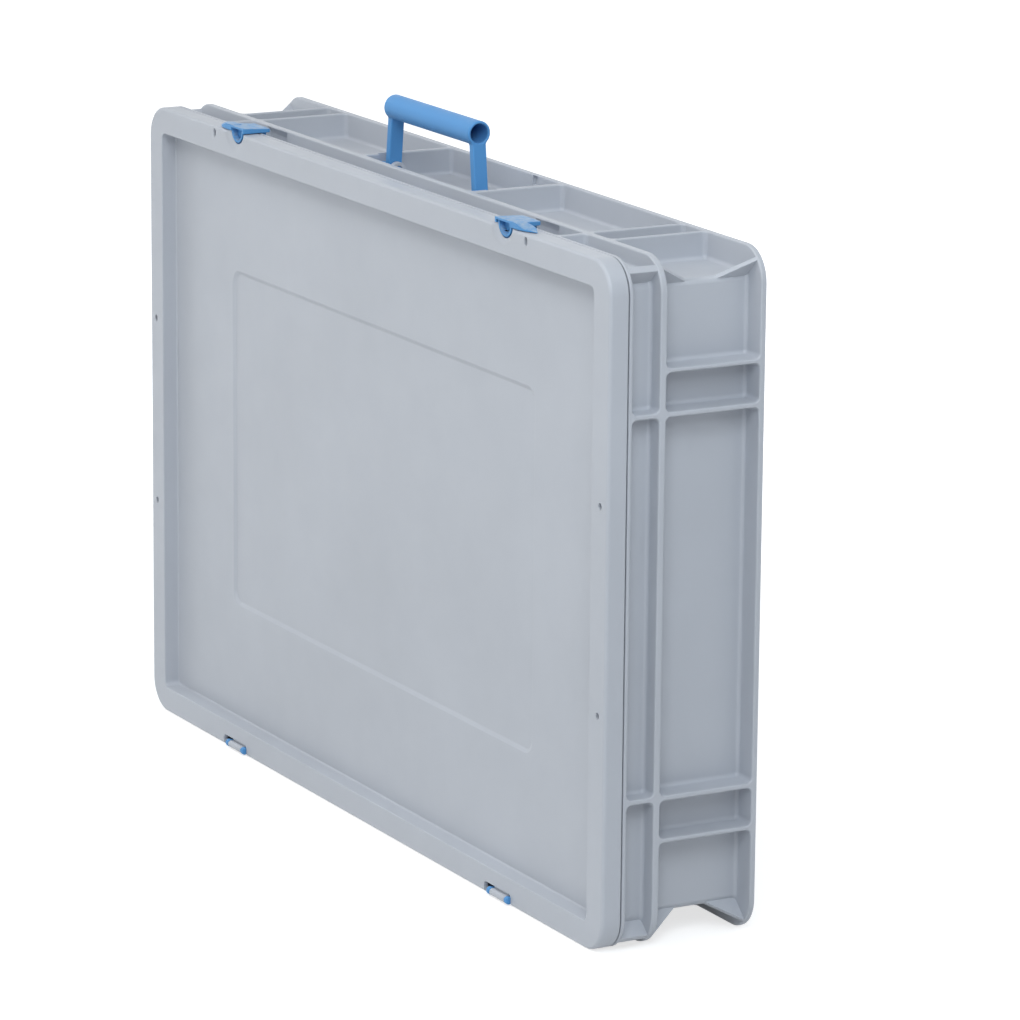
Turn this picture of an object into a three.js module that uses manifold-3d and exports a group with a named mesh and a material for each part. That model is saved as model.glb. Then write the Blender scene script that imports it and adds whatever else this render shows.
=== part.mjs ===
// A carrying case made from a 600 x 400 mm stacking container: a tub, a hinged lid held by two clips and
// two latches, and a folding handle. It stands on its hinge edge, as it is carried, with the handle on top.
//
// Millimetres. X runs along the long side, Y from the lid's outer face back to the base, Z up.
// Each piece is drawn with Y = 0 on the lid's outer face, X = 0 in the middle and Z = 0 under the hinge
// edge. The group at the end moves them all back, so that the origin is under the middle of the case.

import * as THREE from "three";
import { mergeVertices } from "three/addons/utils/BufferGeometryUtils.js";
import Module from "manifold-3d";

// The whole case
const caseLength = 600;
const caseHeight = 400;
const cornerRadius = 20;
const wall = 2.5;
const clearance = 0.3; // between pieces that touch or turn in each other
const overrun = 1; // how far a cut runs past the face that it opens
const root = 0.6; // how deep a rib or a boss sinks into what carries it
const slotSteps = 10; // straight pieces in a quarter of a round outline
const roundSteps = 28; // sides of a pin or a tube
const holeSteps = 16; // sides of a small hole

// Lid
const lidDepth = 12;
const lidEdgeRadius = 2.2;
const lidEndBorder = 18.5;
const lidSideBorder = 16.3;
const recessDepth = 10;
const recessCornerRadius = 4;
const panelEndInset = 102;
const panelSideInset = 91;
const panelDrop = 1.5;
const panelCornerRadius = 9;
const edgeHoleRadius = 1.8;
const edgeHoleInset = 4.4;
const endHoleInset = 8.5;
const endHoleHeights = [140, 261];

// Tub, from the rim back to the base
const rimGap = 0.8;
const rimFlange = 2.5;
const outerBand = 17.3;
const middleFlange = 4.3;
const deepBand = 60.4;
const baseFlange = 3.5;
const footHeight = 8;
const footClearance = 1.5;
const outerBandInset = 10.5;
const deepEndInset = 15;
const deepSideInset = 16;
const ribSetback = 0.4;
const endRibSpread = 111.2;
const endRibThickness = 3;
const endTwinSpread = 136.3;
const endTwinThickness = 2.5;
const sideTwinSpreads = [212.3, 237];
const sideTwinThickness = 2.6;
const outerRibSpread = 214;
const cornerRibThickness = 4.5;
const gussetThickness = 2.5;
const gussetLength = 20.5;
const gussetReach = 19.4;
const gussetFoot = 4.2;

// Handle and what carries it
const gripRadius = 7.5;
const gripBore = 5.8;
const gripHalfLength = 54.5;
const gripRise = 38.5;
const pivotDepth = 7.5; // below the top edge
const pivotFromMiddleFlange = 13.1;
const legWidth = 9;
const legThickness = 5.2;
const legSpreadAtGrip = 51.4;
const legSpreadAtPivot = 55.7;
const pinRadius = 2.6;
const handleRibSpread = 70;
const handleRibThickness = 4;
const pinSlotWidth = 7;
const pinSlotDepth = 2.4;
const lugGap = 0.9;
const lugThickness = 3.5;
const lugRadius = 5.1;
const catchWidth = 6.8;
const catchHeight = 6;
const catchDepth = 2;
const catchSpread = 37.8;
const catchTop = 0.6;

// Latches
const latchToOuterRib = 39.2;
const topHoleFromLatch = 28;
const slotHalfWidth = 8.25;
const slotDepth = 11.5;
const tongueThickness = 3;
const tongueSetback = 0.8;
const tongueSideGap = 0.5;
const tongueEndGap = 1.4;
const tonguePocket = 1.2;
const tonguePocketMargin = 2.2;
const latchPivotSetback = 4;
const latchPivotDrop = 8.8;
const latchPinRadius = 1.1;
const latchPinReach = 2.3;
const hubDepth = 5;
const hubDrop = 6.4;
const earThickness = 2.6;
const earDepth = 7;
const earDrop = 11.4;
const plateGap = 0.5;
const plateThickness = 3.5;
const plateInnerReach = 10.8;
const plateOuterReach = 13.2;
const plateFront = 1;
const plateBack = 21;
const plateBackTaper = 3;
const noseReach = 27;
const noseTipShare = 0.25; // of the plate's thickness
const noseDepth = 7;
const hookBack = 20.4;
const hookDrop = 4.2;
const hookHalfWidth = 6.5;
const pocketHalfWidth = 8.6;
const pocketBite = 2.4;
const pocketDrop = 15;
const pocketLip = 2.5;

// Hinges
const hingeToOuterRib = 38;
const hingeProud = 0.5; // how far the axis lies in front of the lid
const ringRadius = 3.2;
const ringWidth = 4.7;
const ringGap = 0.4;
const barrelRadius = 2.5;
const barrelHalfLength = 8.9;
const journalRadius = 1.7;
const hingeNotchHalfWidth = 16.2;
const webThickness = 2.1;
const armThickness = 3.8;
const clipBodyBottom = 0.6;
const clipBodyHeight = 5.2;
const keeperThickness = 2.2;
const keeperMargin = 4;
const keeperHeight = 9;

// Where each layer starts, from the lid's outer face
const rimFront = lidDepth + rimGap;
const rimBack = rimFront + rimFlange;
const middleFront = rimBack + outerBand;
const middleBack = middleFront + middleFlange;
const baseFront = middleBack + deepBand;
const baseBack = baseFront + baseFlange;
const footBack = baseBack + footHeight;

const halfLength = caseLength / 2;
const latchSpread = outerRibSpread - latchToOuterRib;
const topHoleX = latchSpread + topHoleFromLatch;
const hingeSpread = outerRibSpread - hingeToOuterRib;
const hingeY = -hingeProud;
const hingeZ = ringRadius;
const hingeNotchTop = ringRadius * 2 + clearance;
const clipBodyTop = clipBodyBottom + clipBodyHeight;
const clipHalfLength = barrelHalfLength + ringGap + ringWidth;
const pivotY = middleBack + pivotFromMiddleFlange;
const pivotZ = caseHeight - pivotDepth;
const latchPivotY = latchPivotSetback;
const latchPivotZ = caseHeight - latchPivotDrop;

// Solids

const wasm = await Module();
wasm.setup();

function solid(geometry) {
  geometry.deleteAttribute("normal");
  geometry.deleteAttribute("uv");
  const merged = mergeVertices(geometry);
  return new wasm.Manifold(
    new wasm.Mesh({
      numProp: 3,
      vertProperties: merged.attributes.position.array,
      triVerts: new Uint32Array(merged.index.array),
    }),
  );
}

function meshOf(name, body, material) {
  const { numProp, vertProperties, triVerts } = body.getMesh();
  const geometry = new THREE.BufferGeometry();
  const positions = new Float32Array((vertProperties.length / numProp) * 3);
  for (let i = 0; i < positions.length / 3; i += 1) {
    positions.set(vertProperties.subarray(i * numProp, i * numProp + 3), i * 3);
  }
  geometry.setAttribute("position", new THREE.BufferAttribute(positions, 3));
  geometry.setIndex(new THREE.BufferAttribute(new Uint32Array(triVerts), 1));
  geometry.computeVertexNormals();
  const mesh = new THREE.Mesh(geometry, material);
  mesh.name = name;
  return mesh;
}

function join(parts) {
  return parts.reduce((whole, part) => whole.add(part));
}

function cut(whole, parts) {
  return parts.reduce((left, part) => left.subtract(part), whole);
}

function box([x0, x1], [y0, y1], [z0, z1]) {
  const geometry = new THREE.BoxGeometry(x1 - x0, y1 - y0, z1 - z0);
  return solid(geometry.translate((x0 + x1) / 2, (y0 + y1) / 2, (z0 + z1) / 2));
}

function rodAlongX(radius, [x0, x1], y, z) {
  const geometry = new THREE.CylinderGeometry(radius, radius, x1 - x0, roundSteps);
  return solid(geometry.rotateZ(Math.PI / 2).translate((x0 + x1) / 2, y, z));
}

function rodAlongY(radius, x, [y0, y1], z) {
  const geometry = new THREE.CylinderGeometry(radius, radius, y1 - y0, holeSteps);
  return solid(geometry.translate(x, (y0 + y1) / 2, z));
}

// Outlines extruded along Y are drawn in X and Z, those along X in Y and Z, those along Z in X and Y.
const unitX = new THREE.Vector3(1, 0, 0);
const unitY = new THREE.Vector3(0, 1, 0);
const unitZ = new THREE.Vector3(0, 0, 1);
const drawnInXZ = new THREE.Matrix4().makeBasis(unitX, unitZ, unitY.clone().negate());
const drawnInYZ = new THREE.Matrix4().makeBasis(unitY, unitZ, unitX);

function extruded(shape, depth) {
  return new THREE.ExtrudeGeometry(shape, { depth, bevelEnabled: false, curveSegments: slotSteps });
}

function alongY(shape, [y0, y1]) {
  return solid(extruded(shape, y1 - y0).applyMatrix4(drawnInXZ).translate(0, y1, 0));
}

function alongX(shape, [x0, x1]) {
  return solid(extruded(shape, x1 - x0).applyMatrix4(drawnInYZ).translate(x0, 0, 0));
}

function alongZ(shape, [z0, z1]) {
  return solid(extruded(shape, z1 - z0).translate(0, 0, z0));
}

function polygon(points) {
  return new THREE.Shape(points.map(([x, y]) => new THREE.Vector2(x, y)));
}

function roundedRectangle([x0, x1], [z0, z1], radius) {
  const shape = new THREE.Shape();
  shape.moveTo(x0 + radius, z0);
  shape.lineTo(x1 - radius, z0);
  shape.absarc(x1 - radius, z0 + radius, radius, -Math.PI / 2, 0);
  shape.lineTo(x1, z1 - radius);
  shape.absarc(x1 - radius, z1 - radius, radius, 0, Math.PI / 2);
  shape.lineTo(x0 + radius, z1);
  shape.absarc(x0 + radius, z1 - radius, radius, Math.PI / 2, Math.PI);
  shape.lineTo(x0, z0 + radius);
  shape.absarc(x0 + radius, z0 + radius, radius, Math.PI, Math.PI * 1.5);
  return shape;
}

// The case's outline, drawn in by endInset at both ends and by sideInset at the top and bottom.
function outline(endInset, sideInset, radius) {
  const reach = halfLength - endInset;
  return roundedRectangle([-reach, reach], [sideInset, caseHeight - sideInset], radius);
}

// A U that opens at the top: straight sides and a round bottom.
function slotOutline(halfWidth, bottom, top) {
  const shape = new THREE.Shape();
  shape.moveTo(halfWidth, top);
  shape.lineTo(-halfWidth, top);
  shape.lineTo(-halfWidth, bottom + halfWidth);
  shape.absarc(0, bottom + halfWidth, halfWidth, Math.PI, Math.PI * 2);
  return shape;
}

const sides = [-1, 1];
const around = (middle, halfWidth) => [middle - halfWidth, middle + halfWidth];
const mirrored = ([from, to], side) => (side > 0 ? [from, to] : [-to, -from]);
const mirroredInX = (body) => body.mirror([1, 0, 0]);

// Lid: a tray with its recess outside, a hollow border behind, and the barrels of the two hinges.

function lidShell() {
  const bevelled = new THREE.ExtrudeGeometry(outline(0, 0, cornerRadius), {
    depth: lidDepth,
    bevelThickness: lidEdgeRadius,
    bevelSize: lidEdgeRadius,
    bevelOffset: -lidEdgeRadius,
    bevelSegments: 4,
    curveSegments: slotSteps,
  });
  bevelled.applyMatrix4(drawnInXZ).translate(0, lidDepth + lidEdgeRadius, 0);
  const pastBack = box(
    [-halfLength - overrun, halfLength + overrun],
    [lidDepth, lidDepth * 2],
    [-overrun, caseHeight + overrun],
  );
  return solid(bevelled).subtract(pastBack);
}

function lidBorderHollow() {
  const outer = outline(wall, wall, cornerRadius - wall);
  const inner = outline(lidEndBorder - wall, lidSideBorder - wall, recessCornerRadius + wall);
  const span = [wall, lidDepth + overrun];
  const pastEnds = [wall - overrun, lidDepth + overrun * 2];
  return alongY(outer, span).subtract(alongY(inner, pastEnds));
}

function latchEars(side) {
  const middle = side * latchSpread;
  const bottom = caseHeight - earDrop;
  return sides.map((ear) => {
    const inner = slotHalfWidth + clearance;
    const x = mirrored([inner, inner + earThickness], ear).map((v) => v + middle);
    return box(x, [wall - root, earDepth], [bottom, caseHeight - wall + root]);
  });
}

function hingeBarrel(side) {
  const middle = side * hingeSpread;
  return join([
    rodAlongX(barrelRadius, around(middle, barrelHalfLength), hingeY, hingeZ),
    rodAlongX(journalRadius, around(middle, clipHalfLength - clearance), hingeY, hingeZ),
    box(around(middle, barrelHalfLength), [0, webThickness], [hingeZ, hingeNotchTop + wall]),
  ]);
}

function makeLid() {
  const recess = outline(lidEndBorder, lidSideBorder, recessCornerRadius);
  const sunkPanel = outline(panelEndInset, panelSideInset, panelCornerRadius);
  const sunkBack = outline(
    panelEndInset - wall,
    panelSideInset - wall,
    panelCornerRadius + wall,
  );
  const slotBottom = caseHeight - slotDepth;
  const frontWall = [-overrun, wall + overrun];

  let lid = cut(lidShell(), [lidBorderHollow(), alongY(recess, [-overrun, recessDepth])]);
  lid = lid.add(alongY(sunkBack, [lidDepth - root, lidDepth + panelDrop]));
  lid = lid.subtract(alongY(sunkPanel, [recessDepth - overrun, recessDepth + panelDrop]));
  for (const side of sides) {
    const slot = slotOutline(slotHalfWidth, slotBottom, caseHeight + overrun);
    const throughSlot = alongY(slot, [-overrun, lidDepth + overrun]);
    const earHole = rodAlongX(
      latchPinRadius + clearance,
      around(side * latchSpread, slotHalfWidth + earThickness + overrun),
      latchPivotY,
      latchPivotZ,
    );
    lid = join([lid, ...latchEars(side)]);
    lid = cut(lid, [
      throughSlot.translate([side * latchSpread, 0, 0]),
      earHole,
      box(
        around(side * hingeSpread, hingeNotchHalfWidth),
        [-overrun, lidDepth + overrun],
        [-overrun, hingeNotchTop],
      ),
      rodAlongY(edgeHoleRadius, side * topHoleX, frontWall, caseHeight - edgeHoleInset),
      ...endHoleHeights.map((height) =>
        rodAlongY(edgeHoleRadius, side * (halfLength - endHoleInset), frontWall, height),
      ),
    ]);
    lid = lid.add(hingeBarrel(side));
  }
  return lid;
}

// Tub: stepped walls between three flanges, ribs and gussets between the flanges, and a stacking foot.

function endRibs() {
  const inOuterBand = [rimBack - root, middleFront + root];
  const inDeepBand = [middleBack - root, baseFront + root];
  const rib = (end, y, inset, spread, thickness) => {
    const x = mirrored([halfLength - inset - root, halfLength - ribSetback], end);
    return sides.map((side) => box(x, y, around(caseHeight / 2 + side * spread, thickness / 2)));
  };
  return sides.flatMap((end) => [
    ...rib(end, inOuterBand, outerBandInset, endRibSpread, endRibThickness),
    ...rib(end, inDeepBand, deepEndInset, endRibSpread, endRibThickness),
    ...rib(end, inDeepBand, deepEndInset, endTwinSpread, endTwinThickness),
  ]);
}

function sideRibs() {
  const inOuterBand = [rimBack - root, middleFront + root];
  const inDeepBand = [middleBack - root, baseFront + root];
  const rib = (y, inset, spread, thickness) =>
    sides.flatMap((side) => [
      box(around(side * spread, thickness / 2), y, [ribSetback, inset + root]),
      box(
        around(side * spread, thickness / 2),
        y,
        [caseHeight - inset - root, caseHeight - ribSetback],
      ),
    ]);
  return [
    ...rib(inOuterBand, outerBandInset, outerRibSpread, sideTwinThickness),
    ...sideTwinSpreads.flatMap((spread) =>
      rib(inDeepBand, deepSideInset, spread, sideTwinThickness),
    ),
    ...rib(inDeepBand, deepSideInset, handleRibSpread, handleRibThickness),
  ];
}

// Corner pieces are drawn along the corner's diagonal, outward from the centre of its arc, and in Y.
function inCorner(body, end, level) {
  const outward = new THREE.Vector3(end, 0, level).normalize();
  const across = outward.clone().cross(unitY);
  const centre = new THREE.Vector3(
    end * (halfLength - cornerRadius),
    0,
    level > 0 ? caseHeight - cornerRadius : cornerRadius,
  );
  const frame = new THREE.Matrix4().makeBasis(outward, unitY, across).setPosition(centre);
  return solid(body.applyMatrix4(frame));
}

function cornerPieces() {
  const plate = (points, thickness) =>
    extruded(polygon(points), thickness).translate(0, 0, -thickness / 2);
  const outerWallReach = cornerRadius - outerBandInset - root;
  const ribReach = cornerRadius - ribSetback;
  const pieces = [];
  for (const end of sides) {
    for (const level of sides) {
      const rib = plate(
        [
          [outerWallReach, rimBack - root],
          [ribReach, rimBack - root],
          [ribReach, middleFront + root],
          [outerWallReach, middleFront + root],
        ],
        cornerRibThickness,
      );
      const frontGusset = plate(
        [
          [gussetFoot, middleBack - root],
          [gussetReach, middleBack - root],
          [gussetReach, middleBack],
          [gussetFoot, middleBack + gussetLength],
        ],
        gussetThickness,
      );
      const backGusset = plate(
        [
          [gussetFoot, baseFront - gussetLength],
          [gussetReach, baseFront],
          [gussetReach, baseFront + root],
          [gussetFoot, baseFront + root],
        ],
        gussetThickness,
      );
      pieces.push(...[rib, frontGusset, backGusset].map((piece) => inCorner(piece, end, level)));
    }
  }
  return pieces;
}

// Two lugs on the floor of the handle well, beside the inner faces of the legs.
function lugFace() {
  const legInnerFace = legSpreadAtPivot - legThickness / 2;
  return legInnerFace - lugGap;
}

function handleLugs() {
  const shape = new THREE.Shape();
  const floor = caseHeight - deepSideInset - root;
  shape.moveTo(pivotY - lugRadius, floor);
  shape.lineTo(pivotY + lugRadius, floor);
  shape.lineTo(pivotY + lugRadius, pivotZ);
  shape.absarc(pivotY, pivotZ, lugRadius, 0, Math.PI);
  return sides.map((side) =>
    alongX(shape, mirrored([lugFace() - lugThickness, lugFace()], side)),
  );
}

// The slots and holes that the handle's pins turn in, and the pockets that catch the folded grip.
function handleCuts() {
  const slotFace = handleRibSpread - handleRibThickness / 2;
  const slotSpan = [slotFace - overrun, slotFace + pinSlotDepth];
  const catchCeiling = caseHeight - catchTop;
  return sides.flatMap((side) => [
    rodAlongX(pinSlotWidth / 2, mirrored(slotSpan, side), pivotY, pivotZ),
    box(
      mirrored(slotSpan, side),
      around(pivotY, pinSlotWidth / 2),
      [pivotZ, caseHeight + overrun],
    ),
    rodAlongX(
      pinRadius + clearance,
      mirrored([lugFace() - lugThickness - overrun, lugFace() + overrun], side),
      pivotY,
      pivotZ,
    ),
    box(
      around(side * catchSpread, catchWidth / 2),
      [baseFront - overrun, baseFront + catchDepth],
      [catchCeiling - catchHeight, catchCeiling],
    ),
  ]);
}

// Behind each latch the band's floor is open and the middle flange is let in, so that the hook can swing.
function latchPockets() {
  return sides.map((side) =>
    box(
      around(side * latchSpread, pocketHalfWidth),
      [rimBack + clearance, middleFront + pocketBite],
      [caseHeight - pocketDrop, caseHeight - pocketLip],
    ),
  );
}

function clipNotches() {
  return sides.map((side) =>
    box(
      around(side * hingeSpread, clipHalfLength + clearance),
      [rimFront - overrun, rimBack + overrun],
      [-overrun, clipBodyTop + clearance],
    ),
  );
}

function makeTub() {
  const flange = outline(0, 0, cornerRadius);
  const outerRadius = cornerRadius - outerBandInset;
  const deepRadius = cornerRadius - deepEndInset;
  const footEnd = lidEndBorder + footClearance;
  const footSide = lidSideBorder + footClearance;
  const footRadius = recessCornerRadius + footClearance;

  const walls = [
    alongY(flange, [rimFront, rimBack]),
    alongY(outline(outerBandInset, outerBandInset, outerRadius), [rimBack - root, middleFront + root]),
    alongY(flange, [middleFront, middleBack]),
    alongY(outline(deepEndInset, deepSideInset, deepRadius), [middleBack - root, baseFront + root]),
    alongY(flange, [baseFront, baseBack]),
    alongY(outline(footEnd, footSide, footRadius), [baseBack - root, footBack]),
  ];
  const innerRadius = (radius) => Math.max(radius - wall, wall);
  const hollows = [
    alongY(
      outline(outerBandInset + wall, outerBandInset + wall, innerRadius(outerRadius)),
      [rimFront - overrun, middleFront],
    ),
    alongY(
      outline(deepEndInset + wall, deepSideInset + wall, innerRadius(deepRadius)),
      [middleFront - overrun, baseFront],
    ),
    alongY(
      outline(footEnd + wall, footSide + wall, innerRadius(footRadius)),
      [baseFront - overrun, footBack - wall],
    ),
  ];
  const shell = join([...walls, ...endRibs(), ...sideRibs(), ...cornerPieces(), ...handleLugs()]);
  return cut(shell, [...hollows, ...handleCuts(), ...latchPockets(), ...clipNotches()]);
}

// Handle: a tube for a grip, two flat legs that spread towards the pivot, and the pins.

function handleLeg() {
  const spreadAt = (rise) =>
    legSpreadAtPivot + ((legSpreadAtGrip - legSpreadAtPivot) * rise) / gripRise;
  const low = -legWidth / 2;
  const half = legThickness / 2;
  const slanted = alongY(
    polygon([
      [spreadAt(low) - half, pivotZ + low],
      [spreadAt(low) + half, pivotZ + low],
      [spreadAt(gripRise) + half, pivotZ + gripRise],
      [spreadAt(gripRise) - half, pivotZ + gripRise],
    ]),
    around(pivotY, legWidth / 2),
  );
  const side = new THREE.Shape();
  side.absarc(pivotY, pivotZ, legWidth / 2, Math.PI, Math.PI * 2);
  side.lineTo(pivotY + legWidth / 2, pivotZ + gripRise);
  side.lineTo(pivotY - legWidth / 2, pivotZ + gripRise);
  const pinStart = lugFace() - lugThickness + clearance;
  const pinEnd = handleRibSpread - handleRibThickness / 2 + pinSlotDepth - clearance;
  return slanted
    .intersect(alongX(side, [legSpreadAtGrip / 2, handleRibSpread]))
    .add(rodAlongX(pinRadius, [pinStart, pinEnd], pivotY, pivotZ));
}

function makeHandle() {
  const gripZ = pivotZ + gripRise;
  const leg = handleLeg();
  const grip = rodAlongX(gripRadius, [-gripHalfLength, gripHalfLength], pivotY, gripZ);
  const boreHalfLength = gripHalfLength + overrun;
  const bore = rodAlongX(gripBore, [-boreHalfLength, boreHalfLength], pivotY, gripZ);
  return join([grip, leg, mirroredInX(leg)]).subtract(bore);
}

// Latch: a top plate with a nose, a tongue in the lid's slot, a hub with its pins, and the hook.

const plateBottom = caseHeight + plateGap;

function latchPlate() {
  const noseRadius = noseDepth / 2;
  const shape = new THREE.Shape();
  shape.moveTo(-plateInnerReach, plateFront);
  shape.lineTo(noseReach - noseRadius, plateFront);
  shape.absarc(
    noseReach - noseRadius,
    plateFront + noseRadius,
    noseRadius,
    -Math.PI / 2,
    Math.PI / 2,
  );
  shape.lineTo(plateOuterReach, plateFront + noseDepth);
  shape.lineTo(plateOuterReach - plateBackTaper, plateBack);
  shape.lineTo(-plateInnerReach, plateBack);
  const plateTop = plateBottom + plateThickness;
  const aboveNose = polygon([
    [slotHalfWidth, plateTop],
    [noseReach + overrun, plateBottom + plateThickness * noseTipShare],
    [noseReach + overrun, plateTop + overrun],
    [slotHalfWidth, plateTop + overrun],
  ]);
  return alongZ(shape, [plateBottom, plateTop]).subtract(
    alongY(aboveNose, [plateFront - overrun, plateFront + noseDepth]),
  );
}

// The hook's front face is an arc about the pivot that just clears the rim's edge as the latch lifts.
function latchHook() {
  const toRimEdge = Math.hypot(rimBack - latchPivotY, latchPivotDrop);
  const sweep = new THREE.CylinderGeometry(
    toRimEdge + clearance,
    toRimEdge + clearance,
    (hookHalfWidth + overrun) * 2,
    roundSteps * 3,
  );
  return box(
    [-hookHalfWidth, hookHalfWidth],
    [rimBack - overrun, hookBack],
    [caseHeight - hookDrop, plateBottom + root],
  ).subtract(solid(sweep.rotateZ(Math.PI / 2).translate(0, latchPivotY, latchPivotZ)));
}

function makeLatch() {
  const halfWidth = slotHalfWidth - tongueSideGap;
  const tongueBottom = caseHeight - slotDepth + tongueEndGap;
  const tongueBack = tongueSetback + tongueThickness;
  const tongue = slotOutline(halfWidth, tongueBottom, plateBottom + root);
  const pocket = slotOutline(
    halfWidth - tonguePocketMargin,
    tongueBottom + tonguePocketMargin,
    caseHeight - clearance,
  );
  const pinSpan = around(0, slotHalfWidth + latchPinReach);
  const body = join([
    latchPlate(),
    latchHook(),
    alongY(tongue, [tongueSetback, tongueBack]),
    box(
      [-hookHalfWidth, hookHalfWidth],
      [tongueBack - root, tongueBack + hubDepth],
      [caseHeight - hubDrop, plateBottom + root],
    ),
    rodAlongX(latchPinRadius, pinSpan, latchPivotY, latchPivotZ),
  ]);
  return body.subtract(alongY(pocket, [tongueSetback - overrun, tongueSetback + tonguePocket]));
}

// Hinge clip: two rings round the lid's barrel ends, arms back through the rim, and a keeper behind it.

function makeHingeClip() {
  const ringStart = barrelHalfLength + ringGap;
  const armBottom = hingeZ - armThickness / 2;
  const keeperBack = rimBack + clearance + keeperThickness;
  const arms = sides.flatMap((side) => {
    const x = mirrored([ringStart, ringStart + ringWidth], side);
    return [
      rodAlongX(ringRadius, x, hingeY, hingeZ),
      box(x, [hingeY, rimFront + root], [armBottom, armBottom + armThickness]),
    ];
  });
  const body = join([
    ...arms,
    box(
      [-clipHalfLength, clipHalfLength],
      [rimFront + clearance, keeperBack],
      [clipBodyBottom, clipBodyTop],
    ),
    box(
      around(0, clipHalfLength + keeperMargin),
      [rimBack + clearance, keeperBack],
      [clipBodyBottom, clipBodyBottom + keeperHeight],
    ),
  ]);
  const bore = rodAlongX(
    journalRadius + clearance,
    around(0, clipHalfLength + overrun),
    hingeY,
    hingeZ,
  );
  return body.subtract(bore);
}

// The case

const greyPlastic = () =>
  new THREE.MeshStandardMaterial({ color: 0xaab0b9, roughness: 0.5, metalness: 0 });
const bluePlastic = () =>
  new THREE.MeshStandardMaterial({ color: 0x4a90d0, roughness: 0.4, metalness: 0 });

const latch = makeLatch();
const clip = makeHingeClip();

const carryCase = new THREE.Group();
carryCase.position.y = -(footBack + hingeY - ringRadius) / 2;
carryCase.add(
  meshOf("tub", makeTub(), greyPlastic()),
  meshOf("lid", makeLid(), greyPlastic()),
  meshOf("handle", makeHandle(), bluePlastic()),
);

const pairs = [
  ["latch_left", mirroredInX(latch), -latchSpread],
  ["latch_right", latch, latchSpread],
  ["hinge_clip_left", clip, -hingeSpread],
  ["hinge_clip_right", clip, hingeSpread],
];
for (const [name, body, x] of pairs) {
  const mesh = meshOf(name, body, bluePlastic());
  mesh.position.x = x;
  carryCase.add(mesh);
}

export default carryCase;
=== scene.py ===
"""The looks of a plastic carrying case.

Its pieces are a ribbed tub, a hinged lid, two latches, two hinge clips and a handle. Sizes are in
millimetres in the case's own frame, with y = 0 on the lid's outer face. They become metres in the
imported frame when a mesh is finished.
"""

import math

import bmesh
import bpy
from mathutils import Matrix, Vector


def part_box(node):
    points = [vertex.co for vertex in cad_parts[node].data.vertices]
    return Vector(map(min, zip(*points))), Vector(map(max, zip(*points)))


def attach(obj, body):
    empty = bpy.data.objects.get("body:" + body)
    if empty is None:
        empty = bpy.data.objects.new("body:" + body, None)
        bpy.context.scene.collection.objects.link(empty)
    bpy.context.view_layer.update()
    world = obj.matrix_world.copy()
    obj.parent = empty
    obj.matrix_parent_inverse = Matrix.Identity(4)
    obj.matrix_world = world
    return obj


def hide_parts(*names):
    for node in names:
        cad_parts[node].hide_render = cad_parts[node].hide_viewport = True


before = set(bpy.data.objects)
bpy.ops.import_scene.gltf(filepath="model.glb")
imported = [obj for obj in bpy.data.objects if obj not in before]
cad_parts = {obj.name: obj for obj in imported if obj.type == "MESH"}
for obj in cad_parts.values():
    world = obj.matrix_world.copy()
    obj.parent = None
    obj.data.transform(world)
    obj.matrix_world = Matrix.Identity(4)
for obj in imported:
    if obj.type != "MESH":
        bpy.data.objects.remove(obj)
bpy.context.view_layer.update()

MM = 0.001

# The whole case
CASE_LENGTH = 600
CASE_HEIGHT = 400
HALF_LENGTH = CASE_LENGTH / 2
CORNER_RADIUS = 20
ARC_LENGTH = CORNER_RADIUS * math.pi / 2
WALL = 2.5

# How far a cutter reaches past what it cuts, how deep an added form is sunk, and the gap round a pin
OVERRUN = 1
ROOT = 0.6
CLEARANCE = 0.3

# The flat middle of a shell starts this far inside its innermost edge
CAP_INSET = 12
CAP_RADIUS = 3

# Steps of round forms
CORNER_STEPS = 14
CELL_CORNER_STEPS = 5
FILLET_STEPS = 4
EDGE_STEPS = 3
ARC_STEPS = 16
SHORT_ARC_STEPS = 8
CORNER_ARC_STEPS = 12
ROUND_STEPS = 40
GRIP_STEPS = 64
PIN_STEPS = 24
BEVEL_ANGLE = 30
SMOOTH_ANGLE = 38

# Lid
LID_DEPTH = 12
LID_EDGE_RADIUS = 2.2
LID_END_BORDER = 18.5
LID_SIDE_BORDER = 16.3
LID_LIP_FILLET = 0.5
LID_BACK_FILLET = 0.6
LID_INNER_FILLET = 1.2
RECESS_DEPTH = 10
RECESS_RADIUS = 4
RECESS_DRAFT = 0.8
RECESS_MOUTH_FILLET = 0.7
PANEL_END_INSET = 102
PANEL_SIDE_INSET = 91
PANEL_DROP = 1.5
PANEL_SLOPE = 2.5
PANEL_RADIUS = 9
PANEL_FILLET = 2

# Tub, from front to back
RIM_FRONT = 12.8
RIM_BACK = 15.3
MIDDLE_FRONT = 32.6
MIDDLE_BACK = 36.9
BASE_FRONT = 97.3
BASE_BACK = 100.8
FOOT_BACK = 108.8

# Tub, inwards from its outline
OUTER_INSET = 10.5
DEEP_END_INSET = 15
DEEP_SIDE_INSET = 16
FOOT_END_INSET = 20
FOOT_SIDE_INSET = 17.8
FOOT_RADIUS = 5.5
FOOT_DRAFT = 0.6
BAND_RADIUS = 7
HOLLOW_RADIUS = 3
RIM_FILLET = 0.6
FLANGE_FILLET = 0.8
SHELF_FILLET = 1
FLOOR_FILLET = 1.5

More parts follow.
